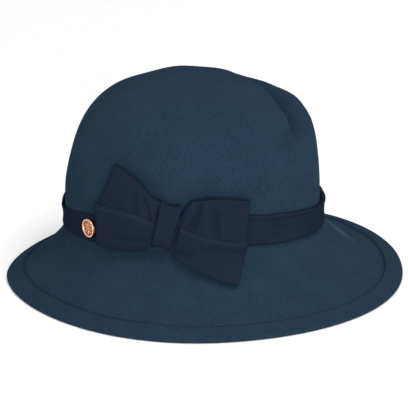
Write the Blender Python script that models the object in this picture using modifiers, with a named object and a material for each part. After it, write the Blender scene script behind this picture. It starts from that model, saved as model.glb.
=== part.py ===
"""Wool felt hat: a blocked crown with a crescent crease, a flared brim with a welted edge, and a satin
ribbon band that carries a pleated bow and a round metal badge.

Metres, +Z up, +X to the front. The hat lies on its brim edge at z = 0, with the origin under the middle of
the brim. The bow sits on the wearer's right, at -Y.
"""

from collections import namedtuple

import bpy
import numpy as np
from mathutils import Vector
from mathutils.bvhtree import BVHTree

# Brim, measured on its underside
BRIM_LENGTH = 0.306
BRIM_WIDTH = 0.2945
FRONT_FULLNESS = 2.12
BACK_FULLNESS = 1.81
REST_WIDTH = 0.0025
BREAK_HEIGHT = 0.0405
BREAK_SIDE_RISE = 0.008
FLARE_OUT = 0.30
FLARE_DOWN = 0.60

# Head oval at the break, for a 57 cm head, and the crown above it
HEAD_LENGTH = 0.191
HEAD_WIDTH = 0.164
HEAD_FULLNESS = 2.1
CROWN_SET_BACK = 0.0085
CROWN_DEPTH = 0.1155
CROWN_TAPER = 0.002
TOP_SLOPE = 0.215
TOP_SLOPE_EASE = 0.026
BACK_DROP = 2.77
FRONT_DROP = 5.6
BACK_ROUND = 3.05
FRONT_ROUND = 4.3
FRONT_BLEND = 1.5

# Felt
FELT = 0.002
WELT_WIDTH = 0.0155
WELT_THICKNESS = 0.0032
WELT_STEP = 0.0007

# Crescent crease over the front of the crown
CREASE_DEPTH = 0.008
CREASE_WALL = 0.0045
CREASE_LIP = 0.0030
CREASE_SLOPE = 0.0164
CREASE_SLOPE_SHARE = 0.55
CREASE_BULGE = 0.4
CREASE_BULGE_REACH = 0.018
CHART_SCALE = 0.8

# Ribbon band. Its edges are so far above the break at the sides, by the rakes higher at the front, and its
# top dips where the band turns round the front and back
GAP = 0.0003
BAND_HEIGHT = 0.0271
BAND_RAKE = 0.0020
BAND_DIP = 0.0055
BAND_DIP_SHARPNESS = 8
BAND_LIFT = 0.0027
BAND_FOOT_RAKE = -0.0010
BAND_THICKNESS = 0.0024

# Bow
KNOT_X = -0.0265
KNOT_HEIGHT = 0.0215
KNOT_TILT = 15.0
KNOT_LENGTH = 0.0352
KNOT_WIDTH = 0.0176
KNOT_NARROWING = 0.08
KNOT_DEPTH = 0.0084
KNOT_SQUARENESS = 2.8
KNOT_WALL = 0.0012
RIBBON_WALL = 0.001
RIBBON_WIDTH = 0.060
BACK_LOOP_LENGTH = 0.053
FRONT_LOOP_LENGTH = 0.0617
LOOP_DEPTH = 0.012
PLEAT_STEP = 0.0018
PLEAT_RISE = 0.0004
KNOT_FADE = 0.24
PANEL_CROWN = 0.0012

# Badge
BADGE_DIAMETER = 0.014
BADGE_THICKNESS = 0.0016
BADGE_RIM = 0.0011
BADGE_RELIEF = 0.00035
BADGE_PETALS = 8
BADGE_FLOOR = 0.6
BADGE_FROM_BACK = 0.0195
BADGE_HEIGHT = 0.0173
BADGE_TURN = -52.0

# Fineness of the meshes
FELT_COLUMNS = 60
COLUMN_CROWDING = 0.4
CREASE_DEEPEST = -14.0
BAND_COLUMNS = 60
LOOP_COLUMNS = 11
LOOP_TURN_DEGREES = (45, 90, 135)
PANEL_ROWS = 6
KNOT_COLUMNS = 24
KNOT_RINGS = 5
BADGE_COLUMNS = 40
CREASE_STEPS = 160
BRIM_STEPS = 65

# A row for each point of the crease, from its end on the bow's side to the far one: degrees round from the
# front, share of the climb from break to top, share of the crease's depth
CreaseRow = namedtuple("CreaseRow", "degrees climb depth")
CREASE_ROWS = (
    CreaseRow(-92, 0.410, 0.00),
    CreaseRow(-78, 0.420, 0.12),
    CreaseRow(-65, 0.440, 0.25),
    CreaseRow(-52, 0.480, 0.42),
    CreaseRow(-40, 0.530, 0.65),
    CreaseRow(-29, 0.560, 0.90),
    CreaseRow(-20, 0.580, 1.00),
    CreaseRow(-14, 0.635, 1.00),
    CreaseRow(-9, 0.695, 0.85),
    CreaseRow(-1, 0.755, 0.75),
    CreaseRow(9, 0.785, 0.70),
    CreaseRow(20, 0.800, 0.60),
    CreaseRow(34, 0.800, 0.45),
    CreaseRow(50, 0.780, 0.25),
    CreaseRow(68, 0.730, 0.00),
)

# Shares of the way from the break to the welt for the brim's rings
BRIM_RINGS = (1, 0.83, 0.66, 0.49, 0.32, 0.16)

# Shares of the climb for the crown's rings, closer together where the crease crosses them
CROWN_RINGS = (
    0.08, 0.16, 0.24, 0.32, 0.39, 0.45, 0.50, 0.545, 0.585,
    0.62, 0.655, 0.69, 0.73, 0.77, 0.81, 0.85, 0.89, 0.94,
)

# A row for each height of the band: share of the band's height, share of its thickness
BandRow = namedtuple("BandRow", "height thickness")
BAND_ROWS = (
    BandRow(0.0, 0.55),
    BandRow(0.07, 0.72),
    BandRow(0.45, 0.62),
    BandRow(0.82, 0.84),
    BandRow(0.93, 1.0),
    BandRow(1.0, 0.74),
)

# A row for each section of a loop, from the knot out. Out is a share of the loop's length, up a share of
# the ribbon's width from the knot's middle, puff a share of the loop's depth off the felt
LoopRow = namedtuple(
    "LoopRow",
    "along top_out top_up top_puff fold_out fold_up fold_puff low_out low_up low_puff hidden_puff",
)
BACK_LOOP_ROWS = (
    LoopRow(0.24, 0.17, 0.325, 0.58, 0.235, 0.055, 0.80, 0.29, -0.31, 0.58, 0.48),
    LoopRow(0.45, 0.364, 0.562, 0.67, 0.449, 0.125, 0.94, 0.47, -0.368, 0.66, 0.34),
    LoopRow(0.72, 0.56, 0.618, 0.62, 0.72, 0.163, 0.95, 0.72, -0.38, 0.64, 0.33),
    LoopRow(1.0, 0.747, 0.635, 0.52, 0.989, 0.155, 0.80, 0.964, -0.362, 0.60, 0.33),
)
FRONT_LOOP_ROWS = (
    LoopRow(0.22, 0.25, 0.25, 0.58, 0.175, -0.06, 0.80, 0.13, -0.41, 0.60, 0.48),
    LoopRow(0.40, 0.38, 0.32, 0.68, 0.34, -0.103, 0.94, 0.284, -0.503, 0.68, 0.34),
    LoopRow(0.70, 0.66, 0.335, 0.68, 0.648, -0.18, 1.0, 0.575, -0.607, 0.66, 0.33),
    LoopRow(1.0, 0.995, 0.243, 0.62, 0.969, -0.237, 1.04, 0.856, -0.688, 0.60, 0.33),
)

# A row for each section of a loop inside the knot: reach from the knot's middle as a share of its width,
# spread as a share of its length
KnotRow = namedtuple("KnotRow", "along reach spread puff hidden_puff")
KNOT_ROWS = (
    KnotRow(0.0, 0.25, 0.33, 0.68, 0.52),
    KnotRow(0.11, 0.56, 0.38, 0.68, 0.52),
)

# A row for each ring of the badge's edge, from its back over its rim: distance in from the edge as a share of
# the rim's width, height as a share of the thickness
BadgeEdgeRow = namedtuple("BadgeEdgeRow", "inset height")
BADGE_EDGE_ROWS = (
    BadgeEdgeRow(0.27, 0.0),
    BadgeEdgeRow(0.0, 0.25),
    BadgeEdgeRow(0.0, 0.75),
    BadgeEdgeRow(0.35, 1.0),
    BadgeEdgeRow(0.85, 1.0),
    BadgeEdgeRow(1.0, BADGE_FLOOR),
)

# A row for each ring inside the rim: share of the field's radius, share of the relief in the petals and in
# the button at the middle
BadgeFieldRow = namedtuple("BadgeFieldRow", "reach petals button")
BADGE_FIELD_ROWS = (
    BadgeFieldRow(0.86, 0, 0),
    BadgeFieldRow(0.62, 1, 0),
    BadgeFieldRow(0.34, 1, 0),
    BadgeFieldRow(0.22, 0, 0),
    BadgeFieldRow(0.20, 0, 1),
)


def superellipse(angle, half_length, half_width, fullness):
    """Distance from the middle to |x/a|^n + |y/b|^n = 1, towards an angle from +X."""
    along = np.abs(np.cos(angle) / half_length) ** fullness
    across = np.abs(np.sin(angle) / half_width) ** fullness
    return (along + across) ** (-1 / fullness)


def polar(radius, angle):
    return radius * np.cos(angle), radius * np.sin(angle)


def rim_outline(angle, inset=0.0):
    """The brim's outline: fuller in front, more pointed behind."""
    fullness = BACK_FULLNESS + (FRONT_FULLNESS - BACK_FULLNESS) * (0.5 + 0.5 * np.cos(angle))
    return polar(superellipse(angle, BRIM_LENGTH / 2, BRIM_WIDTH / 2, fullness) - inset, angle)


def head_oval(angle, girth=1.0):
    """The head's oval at the break, or a smaller one like it."""
    x, y = polar(superellipse(angle, HEAD_LENGTH / 2 * girth, HEAD_WIDTH / 2 * girth, HEAD_FULLNESS), angle)
    return x - CROWN_SET_BACK, y


def break_height(angle):
    """Height of the line where brim meets crown: higher at the sides, so the brim dips front and back."""
    return BREAK_HEIGHT + BREAK_SIDE_RISE * np.sin(angle) ** 2


def brim_point(angle, share):
    """Underside of the brim, from the break at 0 to the resting edge at 1, along a quadratic Bezier."""
    out = 2 * share * (1 - share) * FLARE_OUT + share**2
    down = 2 * share * (1 - share) * FLARE_DOWN + share**2
    inner, outer = head_oval(angle), rim_outline(angle, REST_WIDTH)
    x, y = (a + (b - a) * out for a, b in zip(inner, outer))
    return np.stack([x, y, break_height(angle) * (1 - down)], axis=-1)


def plain_crown_point(angle, share):
    """Inside of the crown before it is creased, from the break at 0 to its top at 1."""
    climb = np.sin(np.pi / 2 * share)
    front = (0.5 + 0.5 * np.cos(angle)) ** FRONT_BLEND
    drop = BACK_DROP + (FRONT_DROP - BACK_DROP) * front
    bend = BACK_ROUND + (FRONT_ROUND - BACK_ROUND) * front
    girth = (1 - CROWN_TAPER * climb) * np.clip(1 - climb**drop, 1e-9, 1) ** (1 / bend)
    x, y = head_oval(angle, girth)
    top = BREAK_HEIGHT + CROWN_DEPTH - TOP_SLOPE * (x + np.hypot(x, TOP_SLOPE_EASE)) / 2
    return np.stack([x, y, break_height(angle) * (1 - climb) + top * climb], axis=-1)


def climb_share(angle, rise):
    """The share of the crown that lies this far above the break."""
    return 2 / np.pi * np.arcsin(rise / (BREAK_HEIGHT + CROWN_DEPTH - break_height(angle)))


def outward(surface, angle, share, step=1e-3):
    """Unit normal of a surface, away from the head."""
    across = surface(angle + step, share) - surface(angle - step, share)
    up = surface(angle, share + step) - surface(angle, share - step)
    normal = np.cross(across, up)
    return normal / np.linalg.norm(normal, axis=-1, keepdims=True)


def smooth_between(marks, values, at):
    """Cubic Hermite curve through values at marks, with slopes taken across each mark's neighbours."""
    slopes = np.gradient(values, marks)
    i = np.clip(np.searchsorted(marks, at, side="right") - 1, 0, len(marks) - 2)
    span = marks[i + 1] - marks[i]
    t = (at - marks[i]) / span
    rest = (1 - t) ** 2
    return (
        values[i] * (1 + 2 * t) * rest + values[i + 1] * t**2 * (3 - 2 * t)
        + span * (slopes[i] * t * rest - slopes[i + 1] * t**2 * (1 - t))
    )


def crown_chart(angle, share):
    """The crown laid out flat about its top: distances from the top in metres along the felt, roughly."""
    reach = (1 - share) * (CROWN_DEPTH + HEAD_LENGTH / 2) * CHART_SCALE
    return np.stack(polar(reach, angle), axis=-1)


def crease_course():
    """Points along the crease on the chart, and its depth at each."""
    rows = np.array(CREASE_ROWS)
    stations = crown_chart(np.radians(rows[:, 0]), rows[:, 1])
    marks = np.append(0, np.cumsum(np.linalg.norm(np.diff(stations, axis=0), axis=1)))
    at = np.linspace(0, marks[-1], CREASE_STEPS)
    course = np.column_stack([smooth_between(marks, stations[:, i], at) for i in (0, 1)])
    return course, np.clip(smooth_between(marks, rows[:, 2], at), 0, 1) * CREASE_DEPTH


def crease_push(angle, share):
    """How far the felt is pushed in: a steep wall on the brim's side, a lip and a slope on the dome's."""
    course, depth = crease_course()
    point = crown_chart(angle, share)
    nearest = np.argmin(np.linalg.norm(point[..., None, :] - course, axis=-1), axis=-1)
    ahead = np.gradient(course, axis=0)[nearest]
    to_point = point - course[nearest]
    dome = ahead[..., 0] * to_point[..., 1] - ahead[..., 1] * to_point[..., 0] > 0
    off = np.linalg.norm(to_point, axis=-1)
    lip = (1 - CREASE_SLOPE_SHARE) * np.exp(-((off / CREASE_LIP) ** 2))
    lip += CREASE_SLOPE_SHARE * np.exp(-((off / CREASE_SLOPE) ** 2))
    wall = (1 + CREASE_BULGE) * np.exp(-((off / CREASE_WALL) ** 2))
    wall -= CREASE_BULGE * np.exp(-((off / CREASE_BULGE_REACH) ** 2))
    return depth[nearest] * np.where(dome, lip, wall)


def crown_point(angle, share):
    """Inside of the finished crown, from the break at 0 to its top at 1."""
    plain = plain_crown_point(angle, share)
    inner = np.clip(share, 2e-3, 1 - 5e-3)
    return plain - outward(plain_crown_point, angle, inner) * crease_push(angle, share)[..., None]


def brim_share(angle, run):
    """The share at which the underside of the brim is this far in from its edge."""
    shares = np.linspace(1, 0, BRIM_STEPS)
    found = []
    for one in angle:
        points = brim_point(np.full(BRIM_STEPS, one), shares)
        runs = np.append(0, np.cumsum(np.linalg.norm(np.diff(points, axis=0), axis=1)))
        found.append(np.interp(run - REST_WIDTH, runs, shares))
    return np.array(found)


def material(name, colour, roughness, metallic=0.0):
    made = bpy.data.materials.new(name)
    made.use_nodes = True
    shader = made.node_tree.nodes["Principled BSDF"]
    shader.inputs["Base Color"].default_value = (*colour, 1)
    shader.inputs["Roughness"].default_value = roughness
    shader.inputs["Metallic"].default_value = metallic
    return made


def mesh_object(name, points, faces, finish, collection):
    mesh = bpy.data.meshes.new(name)
    mesh.from_pydata([tuple(point) for point in points], [], faces)
    mesh.materials.append(finish)
    mesh.shade_smooth()
    made = bpy.data.objects.new(name, mesh)
    collection.objects.link(made)
    return made


def grid_faces(rows, columns, closed):
    """Quads between the rows of a grid, whose last column joins its first if it is closed."""
    return [
        (row * columns + column, row * columns + (column + 1) % columns,
         (row + 1) * columns + (column + 1) % columns, (row + 1) * columns + column)
        for row in range(rows - 1)
        for column in range(columns if closed else columns - 1)
    ]


def weigh(made, name, weights):
    """A vertex group that scales Solidify's thickness at each vertex."""
    group = made.vertex_groups.new(name=name)
    for index, weight in enumerate(weights):
        group.add([index], float(weight), "REPLACE")
    return group.name


def solidify(made, thickness, offset, group="", least=0.0):
    wall = made.modifiers.new("wall", "SOLIDIFY")
    wall.thickness = thickness
    wall.offset = offset
    wall.vertex_group = group
    wall.thickness_vertex_group = least


def felt_angles():
    """Angles of the felt's columns, closer together where the crease is deepest."""
    even = np.linspace(0, 2 * np.pi, FELT_COLUMNS, endpoint=False)
    return even - COLUMN_CROWDING * np.sin(even - np.radians(CREASE_DEEPEST))


def felt_body(finish, collection):
    """Brim and crown in one sheet: the underside's rings from edge to top, thickened upwards and outwards."""
    angle = felt_angles()
    edge = np.stack([*rim_outline(angle), np.zeros(FELT_COLUMNS)], axis=-1)
    welt_end = brim_share(angle, WELT_WIDTH)
    rings = [edge, brim_point(angle, np.ones(FELT_COLUMNS))]
    rings += [brim_point(angle, 1 + (welt_end - 1) * part) for part in (0.5, 1)]
    welted = len(rings)
    step_end = brim_share(angle, WELT_WIDTH + WELT_STEP)
    rings += [brim_point(angle, step_end * part) for part in BRIM_RINGS]
    rings += [crown_point(angle, np.zeros(FELT_COLUMNS))]
    rings += [crown_point(angle, np.full(FELT_COLUMNS, ring)) for ring in CROWN_RINGS]
    top = plain_crown_point(np.zeros(1), np.ones(1))
    points = np.concatenate([*rings, top])
    last = (len(rings) - 1) * FELT_COLUMNS
    cap = [(last + i, last + (i + 1) % FELT_COLUMNS, len(points) - 1) for i in range(FELT_COLUMNS)]
    faces = grid_faces(len(rings), FELT_COLUMNS, True) + cap
    made = mesh_object("felt_body", points, faces, finish, collection)
    layers = np.arange(len(points)) < welted * FELT_COLUMNS
    group = weigh(made, "welt", layers)
    solidify(made, WELT_THICKNESS, 1, group, FELT / WELT_THICKNESS)
    return made


def hat_band(finish, collection):
    """A folded ribbon round the foot of the crown, thicker where its top edge is rolled and higher in front."""
    angle = np.linspace(0, 2 * np.pi, BAND_COLUMNS, endpoint=False)
    foot = BAND_LIFT + BAND_FOOT_RAKE * np.cos(angle)
    top = BAND_HEIGHT + BAND_RAKE * np.cos(angle) - BAND_DIP * np.cos(angle) ** BAND_DIP_SHARPNESS
    rings, weights = [], []
    for row in BAND_ROWS:
        share = climb_share(angle, foot + (top - foot) * row.height)
        normal = outward(plain_crown_point, angle, np.maximum(share, 2e-3))
        rings.append(plain_crown_point(angle, share) + normal * (FELT + GAP))
        weights += [row.thickness] * BAND_COLUMNS
    faces = grid_faces(len(rings), BAND_COLUMNS, True)
    made = mesh_object("hat_band", np.concatenate(rings), faces, finish, collection)
    solidify(made, BAND_THICKNESS, 1, weigh(made, "roll", weights))
    return made


class Side:
    """The near side of the hat, on which the bow is laid."""

    def __init__(self, *objects):
        graph = bpy.context.evaluated_depsgraph_get()
        self.trees = [BVHTree.FromObject(one, graph) for one in objects]

    def depth(self, x, z):
        """Y of the outermost surface at this x and z."""
        hits = [tree.ray_cast(Vector((x, -BRIM_WIDTH, z)), Vector((0, 1, 0)))[0] for tree in self.trees]
        return min(hit.y for hit in hits if hit is not None)

    def reach(self, points, facing):
        """How far the outermost surface stands in front of the points, towards facing."""
        off = facing * BRIM_WIDTH
        hits = [(point, tree.ray_cast(point + off, -facing)[0]) for point in points for tree in self.trees]
        return max((hit - point).dot(facing) for point, hit in hits if hit is not None)

    def facing(self, x):
        """How far the crown's outward normal turns to -Y at this x: 1 straight, less towards the back."""
        along = np.clip((x + CROWN_SET_BACK) / (HEAD_LENGTH / 2 + FELT), -0.97, 0.97)
        across = np.sqrt(1 - along**2) / HEAD_WIDTH
        return across / np.hypot(across, along / HEAD_LENGTH)

    def lay(self, points):
        """Turns rows of x, z and puff into points on the hat, each lifted by its puff."""
        return [(x, self.depth(x, z) - puff / self.facing(x), z) for x, z, puff in points]


def knot_axes():
    """Unit directions in x and z: up the leaning knot, and along the bow at a right angle to it."""
    lean = np.radians(KNOT_TILT)
    return np.array([np.sin(lean), np.cos(lean)]), np.array([np.cos(lean), -np.sin(lean)])


def knot_middle():
    return np.array([KNOT_X, BREAK_HEIGHT + BREAK_SIDE_RISE + KNOT_HEIGHT])


def loop_sections(rows, length, side):
    """Marks along the loop, and for each the x, z and puff of its top edge, fold and lower edge."""
    up, along = knot_axes()
    marks, sections = [], []
    for row in KNOT_ROWS:
        middle = knot_middle() + side * along * row.reach * KNOT_WIDTH
        marks.append(row.along)
        sections.append([
            (*(middle + up * row.spread * KNOT_LENGTH * part),
             row.puff * LOOP_DEPTH, row.hidden_puff * LOOP_DEPTH)
            for part in (1, 0, -1)
        ])
    for row in rows:
        marks.append(row.along)
        sections.append([
            (KNOT_X + side * out * length, knot_middle()[1] + rise * RIBBON_WIDTH,
             puff * LOOP_DEPTH, row.hidden_puff * LOOP_DEPTH)
            for out, rise, puff in (row[1:4], row[4:7], row[7:10])
        ])
    return np.array(marks), np.array(sections)


def bow_loop(name, rows, length, side, hat, finish, collection):
    """A flattened loop of ribbon: pleated front layer, round turn at the end, plain layer behind."""
    marks, sections = loop_sections(rows, length, side)
    panel = np.linspace(0, 1, PANEL_ROWS)

    def across(at, pleat, hidden):
        """Points from top edge to lower edge, the upper panel tucked behind the lower one's folded edge."""
        top, fold, low = np.array([
            [smooth_between(marks, sections[:, i, j], at) for j in range(4)] for i in range(3)
        ])
        tucked = fold - np.array([0, -PLEAT_RISE, pleat, 0])
        upper = top + (tucked - top) * panel[:, None]
        lower = fold + (low - fold) * panel[:, None]
        points = np.concatenate([upper, lower])
        swell = 4 * panel * (1 - panel) * PANEL_CROWN * min(1, at / KNOT_FADE)
        puff = points[:, 3] if hidden else points[:, 2] + np.tile(swell, 2)
        return np.column_stack([points[:, :2], puff])

    def pulled_in(points, at):
        """The turn at the end reaches past the last section, so the layers stop short by as much."""
        return points - np.outer(turn_radius, (side, 0, 0)) * at**2

    end = across(1, PLEAT_STEP, False)
    turn_radius = (end[:, 2] - across(1, 0, True)[:, 2]) / 2
    columns = []
    leaving = marks[len(KNOT_ROWS) - 1]
    for at in (0, *np.linspace(leaving, 1, LOOP_COLUMNS - 1)):
        columns.append(pulled_in(across(at, PLEAT_STEP * min(1, at / KNOT_FADE), False), at))
    for turn in np.radians(LOOP_TURN_DEGREES):
        out, in_ = side * turn_radius * np.sin(turn), turn_radius * (np.cos(turn) - 1)
        columns.append(columns[LOOP_COLUMNS - 1] + np.column_stack([out, np.zeros(len(end)), in_]))
    for at in (*np.linspace(1, leaving, LOOP_COLUMNS // 2), 0):
        columns.append(pulled_in(across(at, 0, True), at))
    columns = np.array(columns)
    points = hat.lay(columns.reshape(-1, 3))
    made = mesh_object(name, points, grid_faces(len(columns), 2 * len(panel), False), finish, collection)
    solidify(made, RIBBON_WALL, 0)
    return made


def bow_knot(hat, finish, collection):
    """The ribbon wrapped round the middle of the bow: an oblong sleeve, leaning to the front."""
    up, along = knot_axes()
    turn = np.linspace(0, 2 * np.pi, KNOT_COLUMNS, endpoint=False)
    reach = superellipse(turn, 1, 1, KNOT_SQUARENESS)
    rise, puff = polar(reach, turn)
    middle_puff = BAND_THICKNESS + 2 * GAP + KNOT_DEPTH / 2
    rings = []
    for share in np.linspace(-0.5, 0.5, KNOT_RINGS):
        width = KNOT_WIDTH * (1 + KNOT_NARROWING * rise)
        flat = knot_middle() + np.outer(rise * KNOT_LENGTH / 2, up) + np.outer(width * share, along)
        rings.append(np.column_stack([flat, middle_puff + puff * KNOT_DEPTH / 2]))
    points = hat.lay(np.concatenate(rings))
    made = mesh_object("bow_knot", points, grid_faces(len(rings), KNOT_COLUMNS, True), finish, collection)
    solidify(made, KNOT_WALL, -1)
    return made


def badge(hat, finish, collection):
    """A round disc with a raised rim and a shallow rosette, lying on the band beside the bow."""
    angle = np.linspace(0, 2 * np.pi, BADGE_COLUMNS, endpoint=False)
    radius = BADGE_DIAMETER / 2
    field = radius - BADGE_RIM
    petals = BADGE_RELIEF * (0.5 + 0.5 * np.cos(BADGE_PETALS * angle))
    low = BADGE_THICKNESS * BADGE_FLOOR
    rings = [(radius - BADGE_RIM * row.inset, BADGE_THICKNESS * row.height) for row in BADGE_EDGE_ROWS]
    rings += [
        (field * row.reach, low + petals * row.petals + BADGE_RELIEF * row.button) for row in BADGE_FIELD_ROWS
    ]
    points = [(0, 0, 0)]
    for size, height in rings:
        points += list(zip(*polar(np.full(BADGE_COLUMNS, size), angle), np.broadcast_to(height, BADGE_COLUMNS)))
    points.append((0, 0, low + BADGE_RELIEF))
    faces = [tuple(1 + i for i in face) for face in grid_faces(len(rings), BADGE_COLUMNS, True)]
    last = 1 + (len(rings) - 1) * BADGE_COLUMNS
    for i in range(BADGE_COLUMNS):
        j = (i + 1) % BADGE_COLUMNS
        faces += [(0, 1 + j, 1 + i), (last + i, last + j, len(points) - 1)]
    made = mesh_object("badge", points, faces, finish, collection)
    facing = Vector((np.sin(np.radians(BADGE_TURN)), -np.cos(np.radians(BADGE_TURN)), 0))
    turn = facing.to_track_quat("Z", "Y")
    x, height = BADGE_FROM_BACK - HEAD_LENGTH / 2 - CROWN_SET_BACK, BREAK_HEIGHT + BADGE_HEIGHT
    middle = Vector((x, hat.depth(x, height), height))
    back = [middle + turn @ Vector(point) for point in points[:1 + 2 * BADGE_COLUMNS]]
    made.rotation_euler = turn.to_euler()
    made.location = middle + facing * (hat.reach(back, facing) + GAP)
    return made


def main():
    for old in list(bpy.data.objects):
        bpy.data.objects.remove(old, do_unlink=True)
    hat = bpy.data.collections.new("wool_felt_hat")
    bpy.context.scene.collection.children.link(hat)
    felt = material("felt", (0.022, 0.047, 0.080), 0.95)
    satin = material("satin", (0.014, 0.022, 0.045), 0.5)
    copper = material("copper", (0.72, 0.32, 0.19), 0.3, 1.0)

    body = felt_body(felt, hat)
    band = hat_band(satin, hat)
    bpy.context.view_layer.update()
    felt_side = Side(body)
    bow_loop("bow_back_loop", BACK_LOOP_ROWS, BACK_LOOP_LENGTH, -1, felt_side, satin, hat)
    bow_loop("bow_front_loop", FRONT_LOOP_ROWS, FRONT_LOOP_LENGTH, 1, felt_side, satin, hat)
    bow_knot(felt_side, satin, hat)
    badge(Side(body, band), copper, hat)


main()
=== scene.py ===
"""Wool felt hat with a ribbon band, a bow and a small round badge: the finished look.

Every piece is a surface worked out with numpy from the sizes in the panel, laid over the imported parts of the
hat. Metres, +Z up, +X to the front, the bow at -Y.
"""

import math
from collections import namedtuple

import bmesh
import bpy
import numpy as np
from mathutils import Matrix, Vector


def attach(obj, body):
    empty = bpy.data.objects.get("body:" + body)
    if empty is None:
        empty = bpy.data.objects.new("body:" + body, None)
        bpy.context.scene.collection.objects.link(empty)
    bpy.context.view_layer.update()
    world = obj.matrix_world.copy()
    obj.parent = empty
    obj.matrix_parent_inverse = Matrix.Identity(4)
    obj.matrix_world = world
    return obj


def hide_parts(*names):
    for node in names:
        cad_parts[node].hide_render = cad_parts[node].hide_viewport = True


bl_info = {
    "name": "Wool Felt Hat",
    "version": (1, 0, 0),
    "blender": (4, 5, 0),
    "location": "View3D > Sidebar > Hat",
    "description": "Makes a wool felt hat with a ribbon band and bow, piece by piece",
    "category": "Add Mesh",
}

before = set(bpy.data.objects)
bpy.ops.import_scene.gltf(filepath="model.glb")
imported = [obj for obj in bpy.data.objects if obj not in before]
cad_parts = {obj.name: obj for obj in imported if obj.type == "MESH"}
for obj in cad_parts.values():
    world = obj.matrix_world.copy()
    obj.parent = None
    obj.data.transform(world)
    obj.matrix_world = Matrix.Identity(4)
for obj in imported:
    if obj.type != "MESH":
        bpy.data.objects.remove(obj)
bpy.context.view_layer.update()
BODY = "root"

# A row for each point of the crease, from its end on the bow's side to the far one: degrees round from the
# front, share of the climb from break to top, share of the crease's depth, and how many times its usual width
CreaseRow = namedtuple("CreaseRow", "degrees climb depth width")
CREASE_ROWS = (
    CreaseRow(-92, 0.410, 0.00, 2.4),
    CreaseRow(-78, 0.420, 0.10, 2.5),
    CreaseRow(-65, 0.440, 0.20, 2.6),
    CreaseRow(-52, 0.480, 0.36, 2.6),
    CreaseRow(-40, 0.527, 0.58, 2.4),
    CreaseRow(-29, 0.568, 0.74, 2.1),
    CreaseRow(-20, 0.604, 0.98, 1.7),
    CreaseRow(-14, 0.652, 1.36, 1.25),
    CreaseRow(-9, 0.695, 1.36, 1.1),
    CreaseRow(-1, 0.755, 1.30, 1.1),
    CreaseRow(9, 0.785, 1.05, 1.15),
    CreaseRow(20, 0.800, 0.76, 1.2),
    CreaseRow(34, 0.800, 0.50, 1.4),
    CreaseRow(50, 0.780, 0.25, 1.7),
    CreaseRow(68, 0.730, 0.00, 2.0),
)

# A row for each height of the band, going up its front: share of the band's height, share of its thickness
BandRow = namedtuple("BandRow", "height thickness")
BAND_ROWS = (
    BandRow(0.0, 0.30),
    BandRow(0.03, 0.60),
    BandRow(0.12, 0.72),
    BandRow(0.3, 0.60),
    BandRow(0.55, 0.60),
    BandRow(0.76, 0.72),
    BandRow(0.84, 0.74),
    BandRow(0.87, 0.92),
    BandRow(0.93, 1.0),
    BandRow(0.98, 0.86),
    BandRow(1.0, 0.5),
)

# A row for each section of a loop, from the knot out. Out is a share of the loop's length, up a share of
# the ribbon's width from the knot's middle, puff a share of the loop's depth off the felt
LoopRow = namedtuple(
    "LoopRow",
    "along top_out top_up top_puff fold_out fold_up fold_puff low_out low_up low_puff hidden_puff",
)
BACK_LOOP_ROWS = (
    LoopRow(0.24, 0.17, 0.325, 0.58, 0.235, 0.055, 0.80, 0.29, -0.325, 0.58, 0.48),
    LoopRow(0.45, 0.36, 0.500, 0.67, 0.449, 0.130, 0.94, 0.47, -0.352, 0.66, 0.34),
    LoopRow(0.72, 0.54, 0.605, 0.62, 0.73, 0.168, 0.95, 0.74, -0.372, 0.64, 0.33),
    LoopRow(1.0, 0.70, 0.680, 0.52, 1.005, 0.168, 0.80, 1.005, -0.368, 0.60, 0.33),
)
FRONT_LOOP_ROWS = (
    LoopRow(0.22, 0.27, 0.27, 0.60, 0.165, -0.025, 0.80, 0.075, -0.400, 0.60, 0.48),
    LoopRow(0.40, 0.38, 0.315, 0.68, 0.34, -0.090, 0.94, 0.284, -0.505, 0.68, 0.34),
    LoopRow(0.70, 0.67, 0.325, 0.68, 0.645, -0.178, 1.0, 0.562, -0.613, 0.66, 0.33),
    LoopRow(1.0, 0.985, 0.268, 0.62, 0.958, -0.237, 1.04, 0.828, -0.690, 0.60, 0.33),
)

# A row for each section of a loop inside the knot: reach from the knot's middle as a share of its width, and
# how far its top and lower edges lie from the middle, as shares of the knot's length
KnotRow = namedtuple("KnotRow", "along reach top low puff hidden_puff")
BACK_KNOT_ROWS = (
    KnotRow(0.0, 0.20, 0.38, 0.46, 0.59, 0.45),
    KnotRow(0.11, 0.47, 0.43, 0.53, 0.59, 0.45),
)
FRONT_KNOT_ROWS = (
    KnotRow(0.0, 0.20, 0.22, 0.46, 0.57, 0.44),
    KnotRow(0.11, 0.50, 0.24, 0.53, 0.57, 0.44),
)

# A row for each soft dent in a loop: its two ends, each a share along the loop and a share of the way from
# the top edge (0) over the fold (1) to the lower edge (2), then its half width and depth in metres
Dent = namedtuple("Dent", "along across to_along to_across width depth")
BACK_LOOP_DENTS = (
    Dent(0.52, 0.30, 0.47, 0.92, 0.0036, 0.0020),
    Dent(0.37, 0.25, 0.24, 0.90, 0.0024, 0.0025),
    Dent(0.24, 0.20, 0.18, 0.60, 0.0018, 0.0010),
    Dent(0.78, 1.70, 0.22, 1.68, 0.0024, 0.0014),
    Dent(0.95, 1.40, 0.45, 1.38, 0.0060, 0.0009),
)
FRONT_LOOP_DENTS = (
    Dent(0.43, 0.10, 0.34, 0.85, 0.0027, 0.0034),
    Dent(0.60, 0.25, 0.68, 0.88, 0.0030, 0.0034),
    Dent(0.51, 0.20, 0.50, 0.80, 0.0024, -0.0006),
    Dent(0.90, 0.15, 0.83, 0.92, 0.0046, 0.0016),
    Dent(0.15, 1.92, 0.44, 1.72, 0.0024, 0.0022),
    Dent(0.95, 1.50, 0.50, 1.42, 0.0070, 0.0009),
)

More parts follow.
